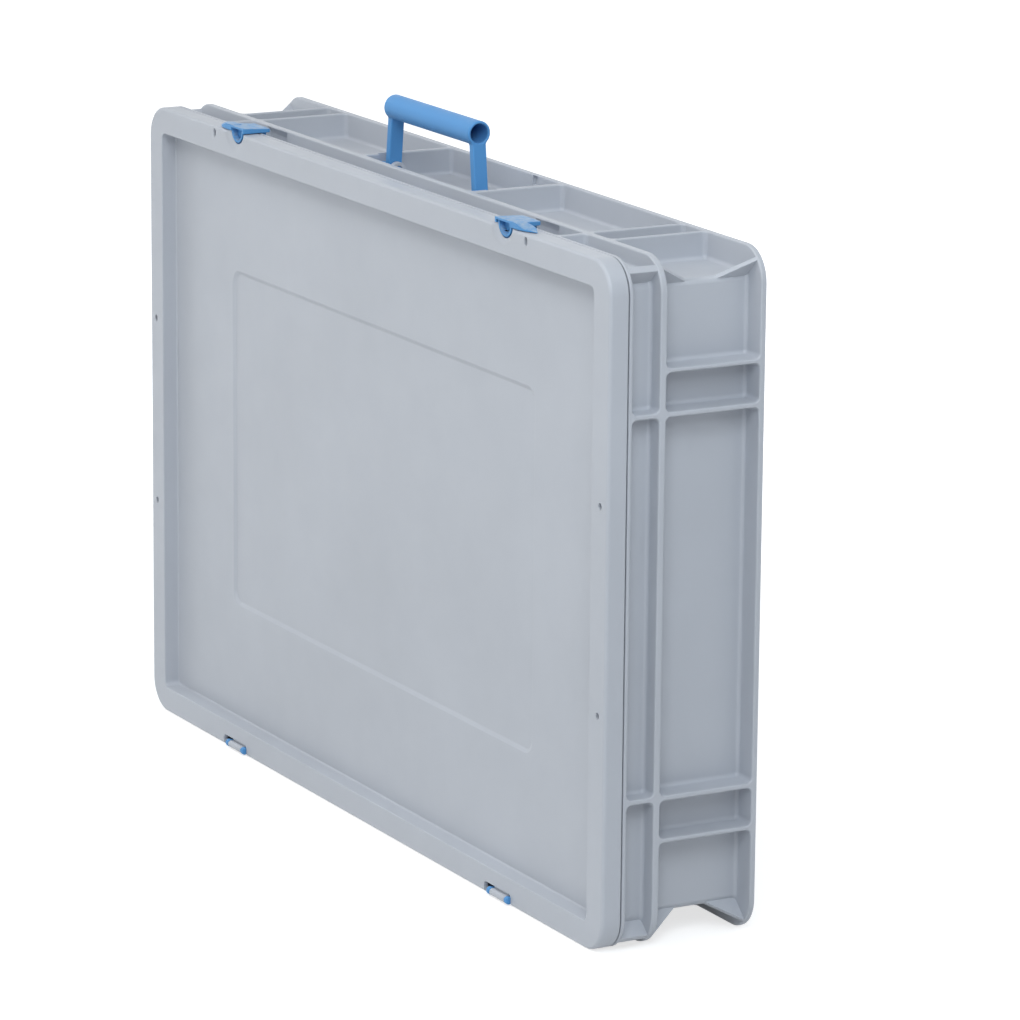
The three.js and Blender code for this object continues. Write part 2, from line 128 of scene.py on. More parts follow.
# Ribs, as distances from the middle of their side
END_RIB_SPREAD = 111.2
END_RIB_THICKNESS = 3
END_TWIN_SPREAD = 136.3
END_TWIN_THICKNESS = 2.5
SIDE_TWIN_SPREADS = (212.3, 237)
SIDE_TWIN_THICKNESS = 2.6
OUTER_RIB_SPREAD = 214
HANDLE_RIB_SPREAD = 70
HANDLE_RIB_THICKNESS = 4
CORNER_RIB_THICKNESS = 4.5
CORNER_RIB_SETBACK = 0.3
GUSSET_THICKNESS = 2.5
GUSSET_LENGTH = 20.5
GUSSET_REACH = 19.4
GUSSET_FOOT = 4.2
PLATE_ROUNDING = 0.5

# Cells between the flanges
CELL_CORNER_RADIUS = 3.2
CELL_FLOOR_RADIUS = 2.4
CELL_MOUTH_RADIUS = 1.1
CELL_DRAFT = 0.3

# Lugs, slots and catches in the handle's well
LUG_THICKNESS = 3.5
LUG_RADIUS = 5.1
LUG_FACE = 52.2
LUG_FLARE = 0.5
LUG_ROUNDING = 0.4
PIN_SLOT_RADIUS = 3.5
PIN_SLOT_DEPTH = 2.4
CATCH_SPREAD = 37.8
CATCH_WIDTH = 6.8
CATCH_HEIGHT = 6
CATCH_DEPTH = 2
CATCH_TOP = 0.6
CATCH_ROUNDING = 0.6

# Handle
PIVOT_Y = 50
PIVOT_Z = CASE_HEIGHT - 7.5
GRIP_RISE = 38.5
GRIP_RADIUS = 7.5
GRIP_BORE = 5.8
GRIP_MOUTH = 0.5
GRIP_HALF_LENGTH = 54.5
GRIP_EDGE = 0.9
GRIP_EDGE_BULGE = 0.35
LEG_WIDTH = 9
LEG_THICKNESS = 5.2
LEG_SPREAD_AT_GRIP = 51.4
LEG_SPREAD_AT_PIVOT = 55.7
LEG_FOOT_HALF_WIDTH = 1
LEG_ROUNDING = 0.9
LEG_FILLET = 2
LEG_FILLET_STEP = 0.4
LEG_FILLET_SECTIONS = 12
LEG_WIDENING = 0.7
PIN_RADIUS = 2.6
PIN_ROUNDING = 0.4
PIN_END = 70.1

# Heights of the sections round a leg's foot
LEG_RISES = (0.01, 0.4, 1.1, 2.2, 3.4, 4.5, 16)

# Latches, in x from the middle of each, with the nose towards +x
LATCH_SPREAD = OUTER_RIB_SPREAD - 39.2
LATCH_PIVOT = (4, CASE_HEIGHT - 8.8)
LATCH_PIN_RADIUS = 1.1
LATCH_PIN_ROUNDING = 0.3
LATCH_PIN_END = 10.5
PLATE_BOTTOM = CASE_HEIGHT + 0.5
PLATE_TOP = CASE_HEIGHT + 4
PLATE_FRONT = 1
PLATE_BACK = 19.6
PLATE_FALL = 1
PLATE_INNER_END = -10.8
PLATE_OUTER_END = 13.2
PLATE_TAPER = 3
LIP_BOTTOM = CASE_HEIGHT + 2.6
LIP_DEPTH = 4
LIP_INNER_SETBACK = 1.8
LIP_OUTER_SETBACK = 1.4

# The nose, and the shares of its height that it loses towards its end, its tip and its front
NOSE_START = 14
NOSE_SHOULDER = 26
NOSE_END = 30
NOSE_BACK = 8
NOSE_TIP_Y = 6.3
NOSE_TIP_WIDTH = 0.3
NOSE_ROUNDING = 0.1
NOSE_ROOT_STATIONS = (6, 10)
NOSE_STEPS = 20
NOSE_SPANS = 7
NOSE_FRONT_POWER = 2.2
NOSE_END_FALL = 0.38
NOSE_TIP_FALL = 0.45
NOSE_FRONT_FALL = 0.6
NOSE_FALL_POWER = 1.6

# The tongue with its thumb recess, and the slot in the lid that it stands in
TONGUE_HALF_WIDTH = 7.9
TONGUE_BOTTOM = CASE_HEIGHT - 6.3
TONGUE_TOP = LIP_BOTTOM + 0.4
TONGUE_FRONT = 1.9
TONGUE_BACK = 3.8
TONGUE_RIM = 1.4
TONGUE_ROUNDING = 0.35
THUMB_DEPTH = 3.4
THUMB_LIP = 0.4
THUMB_FLARE = 0.3
SLIT_REACH = (-5.6, 3.2)
SLIT_DEPTHS = (3.9, 12)
SLIT_LEVELS = (CASE_HEIGHT - 4.1, CASE_HEIGHT - 3.3)
SLOT_HALF_WIDTH = 8.5
SLOT_BOTTOM = CASE_HEIGHT - 7.2
SLOT_TOP = CASE_HEIGHT + 5
SLOT_FLARE = 4.9
U_FIRST_ANGLE = 5

# The hub that joins tongue and pins; its front runs down through (y, z) points from the pivot
HUB_HALF_WIDTH = 6.9
HUB_DEPTH = 4.8
HUB_FOOT_HALF_WIDTH = 4.6
HUB_FOOT_TOP = CASE_HEIGHT - 2.5
HUB_FRONT = ((-1, 5.8), (-0.15, 3.4), (-0.7, 1.3), (-1.25, 0), (-1, -1.3))
HUB_SOLE = 1.3
HUB_HEEL = 2.2
HUB_WAIST = 3.4
HUB_ROOT = 1
HUB_STEP = 0.1
HUB_FOOT_ROUNDING = 0.25
HUB_ROUNDING = 0.3

# The hook over the rim, and the ears behind the slot
HOOK_HALF_WIDTH = 6.5
HOOK_DROP = 4.2
HOOK_SETBACK = 0.4
HOOK_CHAMFER = (0.8, 1.2)
HOOK_ROUNDING = 0.3
EAR_THICKNESS = 2.6
EAR_DEPTH = 7
EAR_DROP = 11.4
EAR_GAP = 0.2
EAR_ROUNDING = 0.4

# The pocket behind each latch; its ceiling slopes down through a bend
POCKET_REACH = (-19, 8.6)
POCKET_TOP = CASE_HEIGHT - 0.3
POCKET_DEPTH = 3.2
POCKET_FLOOR_RISE = 0.4
POCKET_BEND_SHARE = 0.45
POCKET_BEND_DROP = 2
POCKET_SLOPE_DROP = 5

# Hinges, in x from the middle of each
HINGE_SPREAD = OUTER_RIB_SPREAD - 38
HINGE_Y = -0.5
HINGE_Z = 3.2
HINGE_SHIFT = 3.5
RING_RADIUS = 2.35
RING_BORE = 1.3
RING_WALL = 0.9
RING_START = 9
RING_END = 12.4
RING_ROUNDING = 0.8
BARREL_RADIUS = 2.2
BARREL_END = 8.7
BARREL_ROUNDING = 0.5
JOURNAL_RADIUS = 1.05
JOURNAL_END = RING_END - 1.3
WEB_FRONT = 0.9
WEB_BACK = 2.4
WEB_ROOT = 1.5
WEB_ROUNDING = 0.35
NOTCH_HALF_WIDTH = 16.2
NOTCH_TOP = 6.7
NOTCH_BOTTOM = -8
NOTCH_RADIUS = 2.6
ARM_HEIGHT = 3.8
ARM_END = RIM_FRONT + 1
CLIP_FRONT = RIM_FRONT + CLEARANCE
CLIP_BOTTOM = 0.6
CLIP_TOP = 5.8
CLIP_ROUNDING = 0.5
KEEPER_FRONT = 15.6
KEEPER_BACK = 17.8
KEEPER_END = 18
KEEPER_TOP = 9.6

# Holes in the lid's edge
MOUTH_FLARE = 0.5
EDGE_HOLE_RADIUS = 1.65
EDGE_HOLE_CORNER = EDGE_HOLE_RADIUS - 0.05
TOP_HOLE = (OUTER_RIB_SPREAD - 11, CASE_HEIGHT - 4.2)
TOP_HOLE_HALF_HEIGHT = 2.45
END_HOLE_X = HALF_LENGTH - 8.5
END_HOLE_LEVELS = (140, 261)
END_HOLE_HALF_HEIGHT = EDGE_HOLE_RADIUS + 0.3

# Where the lid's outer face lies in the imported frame
FRONT_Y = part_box("tub")[1].y / MM - FOOT_BACK


# Meshes


def filleted(keys):
    """The points through a shell's keys, with each inner key rounded by its fillet."""
    spots = [Vector(each[:4]) for each in keys]
    made = [spots[0]]
    for index in range(1, len(keys) - 1):
        spot = spots[index]
        to_last = spots[index - 1] - spot
        to_next = spots[index + 1] - spot
        last_length = math.hypot(to_last[0], to_last[3])
        next_length = math.hypot(to_next[0], to_next[3])
        cosine = (to_last[0] * to_next[0] + to_last[3] * to_next[3]) / (last_length * next_length)
        half_angle = math.acos(max(-1, min(1, cosine))) / 2
        setback = keys[index][4] / math.tan(half_angle)
        start = spot + to_last * (setback / last_length)
        end = spot + to_next * (setback / next_length)
        weight = math.sin(half_angle)
        for step in range(FILLET_STEPS + 1):
            t = step / FILLET_STEPS
            a, b, c = (1 - t) ** 2, 2 * t * (1 - t) * weight, t * t
            made.append((start * a + spot * b + end * c) / (a + b + c))
    made.append(spots[-1])
    return made


def quarter(steps):
    """The angles of a quarter turn, from 0 on."""
    return [math.pi / 2 * step / steps for step in range(steps + 1)]


def rungs(start, end, low, high, radius, steps=CORNER_STEPS, stations=()):
    """A rounded rectangle as (along, low, high) rungs, from its start to its end."""
    corner = [(radius * (1 - math.cos(a)), radius * (1 - math.sin(a))) for a in quarter(steps)]
    made = [(start + along, low + rise, high - rise) for along, rise in corner]
    made += [(station, low, high) for station in stations]
    made += [(end - along, low + rise, high - rise) for along, rise in reversed(corner)]
    return made


def loop_of(ladder, place):
    """The closed loop round a ladder of rungs; place turns (along, across) into a point."""
    return [place(along, low) for along, low, high in ladder] + [
        place(along, high) for along, low, high in reversed(ladder)
    ]


def stacked(loops):
    """A closed mesh through loops that were made from ladders of the same length."""
    mesh = bmesh.new()
    rows = [[mesh.verts.new(point) for point in loop] for loop in loops]
    count = len(rows[0])
    for row, following in zip(rows, rows[1:]):
        for i in range(count):
            j = (i + 1) % count
            mesh.faces.new((row[i], row[j], following[j], following[i]))
    for row in (rows[0], rows[-1]):
        for i in range(count // 2 - 1):
            mesh.faces.new((row[i], row[i + 1], row[count - 2 - i], row[count - 1 - i]))
    bmesh.ops.recalc_face_normals(mesh, faces=mesh.faces)
    return mesh


def bevelled(mesh, radius, segments=EDGE_STEPS):
    """Rounds the mesh's sharp edges."""
    sharp = [edge for edge in mesh.edges if edge.calc_face_angle(0) > math.radians(BEVEL_ANGLE)]
    bmesh.ops.bevel(
        mesh,
        geom=sharp,
        offset=radius,
        offset_type="OFFSET",
        segments=segments,
        profile=0.5,
        affect="EDGES",
        clamp_overlap=True,
    )
    return mesh


def prism(points, ends, place, radius=0.0):
    """An outline of pairs pushed from end to end; place turns (first, second, through) into a point."""
    mesh = bmesh.new()
    first, last = [[mesh.verts.new(place(a, b, end)) for a, b in points] for end in ends]
    count = len(points)
    mesh.faces.new(first)
    mesh.faces.new(last)
    for i in range(count):
        j = (i + 1) % count
        mesh.faces.new((first[i], first[j], last[j], last[i]))
    bmesh.ops.recalc_face_normals(mesh, faces=mesh.faces)
    return bevelled(mesh, radius) if radius else mesh


def along_x(y, z, x):
    """Places an outline in y and z that is pushed along x."""
    return (x, y, z)


def box(x, y, z, radius=0.0):
    corners = [(x[0], y[0]), (x[1], y[0]), (x[1], y[1]), (x[0], y[1])]
    return prism(corners, z, lambda a, b, c: (a, b, c), radius)


def arc(centre, radius, start, end, steps):
    """Points on an arc, with its angles in degrees."""
    made = []
    for step in range(steps + 1):
        turn = math.radians(start + (end - start) * step / steps)
        made.append((centre[0] + radius * math.cos(turn), centre[1] + radius * math.sin(turn)))
    return made


def joined(meshes):
    """Several meshes as one, without joining their surfaces."""
    whole = bmesh.new()
    for mesh in meshes:
        data = bpy.data.meshes.new("part")
        mesh.to_mesh(data)
        mesh.free()
        whole.from_mesh(data)
        bpy.data.meshes.remove(data)
    return whole


def as_object(name, mesh):
    data = bpy.data.meshes.new(name)
    mesh.to_mesh(data)
    mesh.free()
    made = bpy.data.objects.new(name, data)
    bpy.context.scene.collection.objects.link(made)
    return made


def combined(base, others, operation):
    """The boolean of two meshes: operation is UNION, DIFFERENCE or INTERSECT."""
    first = as_object("base", base)
    second = as_object("other", others)
    modifier = first.modifiers.new("boolean", "BOOLEAN")
    modifier.operation = operation
    modifier.solver = "MANIFOLD"
    modifier.object = second
    bpy.context.view_layer.update()
    evaluated = first.evaluated_get(bpy.context.evaluated_depsgraph_get())
    mesh = bmesh.new()
    mesh.from_mesh(evaluated.to_mesh())
    evaluated.to_mesh_clear()
    for used in (first, second):
        data = used.data
        bpy.data.objects.remove(used)
        bpy.data.meshes.remove(data)
    return mesh


def united(meshes):
    whole = meshes[0]
    for mesh in meshes[1:]:
        whole = combined(whole, mesh, "UNION")
    return whole


def without(whole, cutters):
    for cutter in cutters:
        whole = combined(whole, cutter, "DIFFERENCE")
    return whole


def side_span(side, near, far):
    """A span in x on one side of the case, from its distances to the middle."""
    return sorted((side * near, side * far))


def shifted(mesh, x=0, y=0, z=0):
    bmesh.ops.translate(mesh, vec=(x, y, z), verts=mesh.verts)
    return mesh


def turned(profile, steps=ROUND_STEPS):
    """A closed solid of revolution along x: profile is (x, radius) from one end to the other."""
    mesh = bmesh.new()
    rows = []
    for x, radius in profile:
        rows.append(
            [
                mesh.verts.new((x, radius * math.cos(turn), radius * math.sin(turn)))
                for turn in (math.tau * step / steps for step in range(steps))
            ]
        )
    for row, following in zip(rows, rows[1:]):
        for i in range(steps):
            j = (i + 1) % steps
            mesh.faces.new((row[i], row[j], following[j], following[i]))
    mesh.faces.new(rows[0])
    mesh.faces.new(rows[-1])
    bmesh.ops.recalc_face_normals(mesh, faces=mesh.faces)
    return mesh


def rod(x, radius, y, z, edge=0.0, steps=ROUND_STEPS):
    """A round bar along x; its ends are rounded by the edge."""
    profile = [(x[0], radius)]
    if edge:
        turns = quarter(FILLET_STEPS)
        corner = [(edge * (1 - math.cos(a)), radius - edge * (1 - math.sin(a))) for a in turns]
        profile = [(x[0] + along, out) for along, out in corner]
        profile += [(x[1] - along, out) for along, out in reversed(corner)]
    else:
        profile.append((x[1], radius))
    return shifted(turned(profile, steps), y=y, z=z)


def mirrored_in_x(mesh):
    bmesh.ops.scale(mesh, vec=(-1, 1, 1), verts=mesh.verts)
    bmesh.ops.reverse_faces(mesh, faces=mesh.faces)
    return mesh


def mirrored(mesh):
    """A mirrored copy."""
    return mirrored_in_x(mesh.copy())


def finished(name, mesh, material, node, body):
    """The mesh as a piece that stands for a CAD node and rides on its body."""
    to_frame = Matrix.Scale(MM, 4) @ Matrix.Translation((0, FRONT_Y, 0))
    bmesh.ops.transform(mesh, matrix=to_frame, verts=mesh.verts)
    piece = as_object(name, mesh)
    piece.data.polygons.foreach_set("use_smooth", [True] * len(piece.data.polygons))
    piece.data.set_sharp_from_angle(angle=math.radians(SMOOTH_ANGLE))
    weighted = piece.modifiers.new("weighted normals", "WEIGHTED_NORMAL")
    weighted.keep_sharp = True
    piece.data.materials.append(material)
    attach(piece, body)
    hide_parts(node)
    return piece


# Lid and tub shells


def key(insets, offset, radius, y, fillet=0):
    """A key of a shell: its insets from the ends and the sides, corner radius, y and fillet."""
    end_inset, side_inset = insets
    return (end_inset + offset, side_inset + offset, radius, y, fillet)


def lofted(keys):
    """A shell round the case's outline, through its keys."""
    loops = []
    for end_inset, side_inset, radius, y in filleted(keys):
        ladder = rungs(
            end_inset - HALF_LENGTH,
            HALF_LENGTH - end_inset,
            side_inset,
            CASE_HEIGHT - side_inset,
            radius,
        )
        loops.append(loop_of(ladder, lambda x, z, y=y: (x, y, z)))
    return stacked(loops)


def lid_shell():
    edge = (0, 0)
    border = (LID_END_BORDER, LID_SIDE_BORDER)
    panel = (PANEL_END_INSET, PANEL_SIDE_INSET)
    panel_front = RECESS_DEPTH + PANEL_DROP
    panel_back = LID_DEPTH + PANEL_DROP
    inner_radius = CORNER_RADIUS - WALL
    return lofted(
        [
            key(panel, CAP_INSET, CAP_RADIUS, panel_front),
            key(panel, PANEL_SLOPE, PANEL_RADIUS - PANEL_SLOPE, panel_front, PANEL_FILLET),
            key(panel, 0, PANEL_RADIUS, RECESS_DEPTH, LID_INNER_FILLET),
            key(border, RECESS_DRAFT, RECESS_RADIUS - RECESS_DRAFT, RECESS_DEPTH, LID_INNER_FILLET),
            key(border, 0, RECESS_RADIUS, 0, RECESS_MOUTH_FILLET),
            key(edge, 0, CORNER_RADIUS, 0, LID_EDGE_RADIUS),
            key(edge, 0, CORNER_RADIUS, LID_DEPTH, LID_LIP_FILLET),
            key(edge, WALL, inner_radius, LID_DEPTH, LID_LIP_FILLET),
            key(edge, WALL, inner_radius, WALL, LID_INNER_FILLET),
            key(border, -WALL, RECESS_RADIUS + WALL, WALL, LID_INNER_FILLET),
            key(border, -WALL, RECESS_RADIUS + WALL, LID_DEPTH, LID_BACK_FILLET),
            key(panel, -WALL, PANEL_RADIUS + WALL, LID_DEPTH, LID_INNER_FILLET),
            key(panel, 0, PANEL_RADIUS, panel_back, LID_INNER_FILLET),
            key(panel, CAP_INSET, CAP_RADIUS, panel_back),
        ]
    )


def tub_shell():
    """The tub without its cells: thick walls outside, and the stepped hollow inside."""
    edge = (0, 0)
    band = (OUTER_INSET, OUTER_INSET)
    deep = (DEEP_END_INSET, DEEP_SIDE_INSET)
    foot = (FOOT_END_INSET, FOOT_SIDE_INSET)
    floor = FOOT_BACK - WALL
    return lofted(
        [
            key(foot, WALL + CAP_INSET, CAP_RADIUS, floor),
            key(foot, WALL, HOLLOW_RADIUS, floor, FLOOR_FILLET),
            key(foot, WALL, HOLLOW_RADIUS, BASE_FRONT, SHELF_FILLET),
            key(deep, WALL, HOLLOW_RADIUS, BASE_FRONT, SHELF_FILLET),
            key(deep, WALL, HOLLOW_RADIUS, MIDDLE_FRONT, SHELF_FILLET),
            key(band, WALL, BAND_RADIUS, MIDDLE_FRONT, SHELF_FILLET),
            key(band, WALL, BAND_RADIUS, RIM_FRONT, FLANGE_FILLET),
            key(edge, 0, CORNER_RADIUS, RIM_FRONT, RIM_FILLET),
            key(edge, 0, CORNER_RADIUS, BASE_BACK, FLANGE_FILLET),
            key(foot, 0, FOOT_RADIUS, BASE_BACK, FLOOR_FILLET),
            key(foot, FOOT_DRAFT, FOOT_RADIUS, FOOT_BACK, FLOOR_FILLET),
            key(foot, CAP_INSET, CAP_RADIUS, FOOT_BACK),
        ]
    )


# Cells


def on_end(end):
    """Along z on the end wall: (along, depth, y) to a point."""
    return lambda along, depth, y: (end * (HALF_LENGTH - depth), y, along)


def on_side(level):
    """Along x on the top or bottom side."""
    return lambda along, depth, y: (along, y, CASE_HEIGHT - depth if level > 0 else depth)


def round_corner(end, level, end_depth, side_depth):
    """From the side (negative along) round the corner to the end wall (positive along)."""

    def place(along, depth, y):
        turn = max(0, min(math.pi / 2, along / CORNER_RADIUS + math.pi / 4))
        share = turn / (math.pi / 2)
        scale = 1 + (side_depth / end_depth - 1) * (1 - share)
        reach = CORNER_RADIUS - depth * (scale if depth > 0 else 1)
        x = HALF_LENGTH - CORNER_RADIUS + reach * math.sin(turn)
        z = CASE_HEIGHT - CORNER_RADIUS + reach * math.cos(turn)
        x += min(0, along + ARC_LENGTH / 2)
        z -= max(0, along - ARC_LENGTH / 2)
        return (end * x, y, z if level > 0 else CASE_HEIGHT - z)

    return place


def cell(place, along, y, depth, stations=()):
    """A pocket's cutter with round corners, a filleted floor and a mouth that flares."""
    profile = []
    for turn in quarter(FILLET_STEPS):
        inset = CELL_DRAFT + CELL_FLOOR_RADIUS * (1 - math.sin(turn))
        profile.append((inset, depth - CELL_FLOOR_RADIUS * (1 - math.cos(turn))))
    for turn in quarter(FILLET_STEPS):
        inset = -CELL_MOUTH_RADIUS * (1 - math.cos(turn))
        profile.append((inset, CELL_MOUTH_RADIUS * (1 - math.sin(turn))))
    profile.append((-CELL_MOUTH_RADIUS, -OVERRUN))
    loops = []
    for inset, at_depth in profile:
        ladder = rungs(
            along[0] + inset,
            along[1] - inset,
            y[0] + inset,
            y[1] - inset,
            CELL_CORNER_RADIUS - inset,
            CELL_CORNER_STEPS,
            stations,
        )
        loops.append(loop_of(ladder, lambda s, across, d=at_depth: place(s, d, across)))
    return stacked(loops)


def cells():
    outer_band = (RIM_BACK, MIDDLE_FRONT)
    deep_band = (MIDDLE_BACK, BASE_FRONT)
    middle = CASE_HEIGHT / 2
    end_rib = END_RIB_THICKNESS / 2
    end_twin = END_TWIN_THICKNESS / 2
    side_twin = SIDE_TWIN_THICKNESS / 2
    handle_rib = HANDLE_RIB_THICKNESS / 2
    inner_twin, outer_twin = SIDE_TWIN_SPREADS
    arc_steps = range(CORNER_ARC_STEPS + 1)
    arc_stations = [ARC_LENGTH * (step / CORNER_ARC_STEPS - 0.5) for step in arc_steps]
    corner_start = HALF_LENGTH - CORNER_RADIUS
    corner_level = CASE_HEIGHT - CORNER_RADIUS
    made = []
    for end in (-1, 1):
        place = on_end(end)
        long_cell = (middle - END_RIB_SPREAD + end_rib, middle + END_RIB_SPREAD - end_rib)
        made.append(cell(place, long_cell, outer_band, OUTER_INSET))
        made.append(cell(place, long_cell, deep_band, DEEP_END_INSET))
        for level in (-1, 1):
            near = middle + level * (END_RIB_SPREAD + end_rib)
            far = middle + level * (END_TWIN_SPREAD - end_twin)
            made.append(cell(place, sorted((near, far)), deep_band, DEEP_END_INSET))
            deep = round_corner(end, level, DEEP_END_INSET, DEEP_SIDE_INSET)
            from_side = -(corner_start - outer_twin - side_twin) - ARC_LENGTH / 2
            to_end = corner_level - (middle + END_TWIN_SPREAD + end_twin) + ARC_LENGTH / 2
            made.append(cell(deep, (from_side, to_end), deep_band, DEEP_END_INSET, arc_stations))
            shallow = round_corner(end, level, OUTER_INSET, OUTER_INSET)
            from_side = -(corner_start - OUTER_RIB_SPREAD - side_twin) - ARC_LENGTH / 2
            to_end = corner_level - (middle + END_RIB_SPREAD + end_rib) + ARC_LENGTH / 2
            made.append(cell(shallow, (from_side, to_end), outer_band, OUTER_INSET, arc_stations))
    for level in (-1, 1):
        place = on_side(level)
        reach = OUTER_RIB_SPREAD - side_twin
        made.append(cell(place, (-reach, reach), outer_band, OUTER_INSET))
        reach = HANDLE_RIB_SPREAD - handle_rib
        made.append(cell(place, (-reach, reach), deep_band, DEEP_SIDE_INSET))
        for end in (-1, 1):
            wide = (HANDLE_RIB_SPREAD + handle_rib, inner_twin - side_twin)
            narrow = (inner_twin + side_twin, outer_twin - side_twin)
            for low, high in (wide, narrow):
                made.append(cell(place, side_span(end, low, high), deep_band, DEEP_SIDE_INSET))
    return joined(made)


def corner_plates():
    """The corner ribs of the outer band and the gussets of the deep band, on each corner's diagonal."""
    wall_reach = CORNER_RADIUS - OUTER_INSET - ROOT
    rib_reach = CORNER_RADIUS - CORNER_RIB_SETBACK
    rib = [
        (wall_reach, RIM_BACK - ROOT),
        (rib_reach, RIM_BACK - ROOT),
        (rib_reach, MIDDLE_FRONT + ROOT),
        (wall_reach, MIDDLE_FRONT + ROOT),
    ]
    front = [
        (GUSSET_FOOT, MIDDLE_BACK - ROOT),
        (GUSSET_REACH, MIDDLE_BACK - ROOT),
        (GUSSET_REACH, MIDDLE_BACK),
        (GUSSET_FOOT, MIDDLE_BACK + GUSSET_LENGTH),
    ]
    back = [
        (GUSSET_FOOT, BASE_FRONT - GUSSET_LENGTH),
        (GUSSET_REACH, BASE_FRONT),
        (GUSSET_REACH, BASE_FRONT + ROOT),
        (GUSSET_FOOT, BASE_FRONT + ROOT),
    ]
    plates = ((rib, CORNER_RIB_THICKNESS), (front, GUSSET_THICKNESS), (back, GUSSET_THICKNESS))
    diagonal = math.sqrt(0.5)
    made = []
    for end in (-1, 1):
        for level in (-1, 1):
            centre_x = end * (HALF_LENGTH - CORNER_RADIUS)
            centre_z = CASE_HEIGHT / 2 + level * (CASE_HEIGHT / 2 - CORNER_RADIUS)

            def place(out, y, across, end=end, level=level, cx=centre_x, cz=centre_z):
                return (
                    cx + (out + across) * diagonal * end,
                    y,
                    cz + (out - across) * diagonal * level,
                )

            for points, thickness in plates:
                through = (-thickness / 2, thickness / 2)
                made.append(prism(points, through, place, PLATE_ROUNDING))
    return joined(made)


# Lid details


def u_rungs(half_width, bottom, top):
    """A U with a round bottom, open at its top, as rungs of (z, low x, high x)."""
    made = []
    for step in range(ARC_STEPS + 1):
        turn = math.radians(U_FIRST_ANGLE + (90 - U_FIRST_ANGLE) * step / ARC_STEPS)
        reach = half_width * math.sin(turn)
        made.append((bottom + half_width * (1 - math.cos(turn)), -reach, reach))
    made.append((top, -half_width, half_width))
    return made


def u_solid(stations):
    """A solid along y through U outlines: stations are (y, half width, bottom, top)."""
    loops = []
    for y, half_width, bottom, top in stations:
        loops.append(loop_of(u_rungs(half_width, bottom, top), lambda z, x, y=y: (x, y, z)))
    return stacked(loops)


def flared_hole(x, z, y, radius):
    """A rounded rectangle in x and z, cut along y, with a mouth that flares at its front end."""
    loops = []
    for depth, inset in ((y[0], -MOUTH_FLARE), (MOUTH_FLARE, 0), (y[1], 0)):
        ladder = rungs(
            x[0] + inset,
            x[1] - inset,
            z[0] + inset,
            z[1] - inset,
            radius - inset,
            SHORT_ARC_STEPS,
        )
        loops.append(loop_of(ladder, lambda a, b, d=depth: (a, d, b)))
    return stacked(loops)


def edge_hole(x, z, half_height):
    """A small upright hole through the lid's border."""
    return flared_hole(
        (x - EDGE_HOLE_RADIUS, x + EDGE_HOLE_RADIUS),
        (z - half_height, z + half_height),
        (-OVERRUN, WALL + OVERRUN),
        EDGE_HOLE_CORNER,
    )


def lid_cuts(side):
    """The slot of a latch, the notch of a hinge and the holes on one side of the lid."""
    past_back = LID_DEPTH + OVERRUN
    slope = SLOT_FLARE / WALL
    mouth_flare = SLOT_FLARE + slope * OVERRUN
    mouth_half_width = SLOT_HALF_WIDTH + mouth_flare
    slot = u_solid(
        [
            (-OVERRUN, mouth_half_width, SLOT_BOTTOM - mouth_flare, SLOT_TOP),
            (WALL, SLOT_HALF_WIDTH, SLOT_BOTTOM, SLOT_TOP),
            (past_back, SLOT_HALF_WIDTH, SLOT_BOTTOM, SLOT_TOP),
        ]
    )
    notch = flared_hole(
        (-NOTCH_HALF_WIDTH, NOTCH_HALF_WIDTH),
        (NOTCH_BOTTOM, NOTCH_TOP),
        (-OVERRUN, past_back),
        NOTCH_RADIUS,
    )
    hole_x, hole_z = TOP_HOLE
    hole = edge_hole(hole_x, hole_z, TOP_HOLE_HALF_HEIGHT)
    made = [
        shifted(slot, x=side * LATCH_SPREAD),
        shifted(notch, x=side * HINGE_SPREAD),
        hole if side > 0 else mirrored_in_x(hole),
    ]
    for level in END_HOLE_LEVELS:
        made.append(edge_hole(side * END_HOLE_X, level, END_HOLE_HALF_HEIGHT))
    return made


def latch_ears(side):
    """The two ears behind each slot that carry the latch's pins."""
    depths = (WALL - ROOT, EAR_DEPTH)
    levels = (CASE_HEIGHT - EAR_DROP, CASE_HEIGHT - WALL + ROOT)
    near = SLOT_HALF_WIDTH + EAR_GAP
    made = []
    for ear in (-1, 1):
        x = side_span(ear, near, near + EAR_THICKNESS)
        plate = box(x, depths, levels, EAR_ROUNDING)
        past = (x[0] - OVERRUN, x[1] + OVERRUN)
        hole = rod(past, LATCH_PIN_RADIUS + CLEARANCE, *LATCH_PIVOT, steps=PIN_STEPS)
        made.append(shifted(combined(plate, hole, "DIFFERENCE"), x=side * LATCH_SPREAD))
    return made


def hinge_barrel(side):
    """The lid's half of a hinge: a barrel with journals, hung from the notch by a thin web."""
    barrel = rod((-BARREL_END, BARREL_END), BARREL_RADIUS, HINGE_Y, HINGE_Z, BARREL_ROUNDING)
    journal = rod((-JOURNAL_END, JOURNAL_END), JOURNAL_RADIUS, HINGE_Y, HINGE_Z, CLEARANCE)
    web = box(
        (-BARREL_END, BARREL_END),
        (WEB_FRONT, WEB_BACK),
        (HINGE_Z, NOTCH_TOP + WEB_ROOT),
        WEB_ROUNDING,
    )
    return shifted(united([barrel, journal, web]), x=side * HINGE_SPREAD + HINGE_SHIFT)


def make_lid():
    lid = lid_shell()
    for side in (-1, 1):
        lid = united([lid, *latch_ears(side)])
        lid = without(lid, lid_cuts(side))
        lid = combined(lid, hinge_barrel(side), "UNION")
    return lid


# Tub details


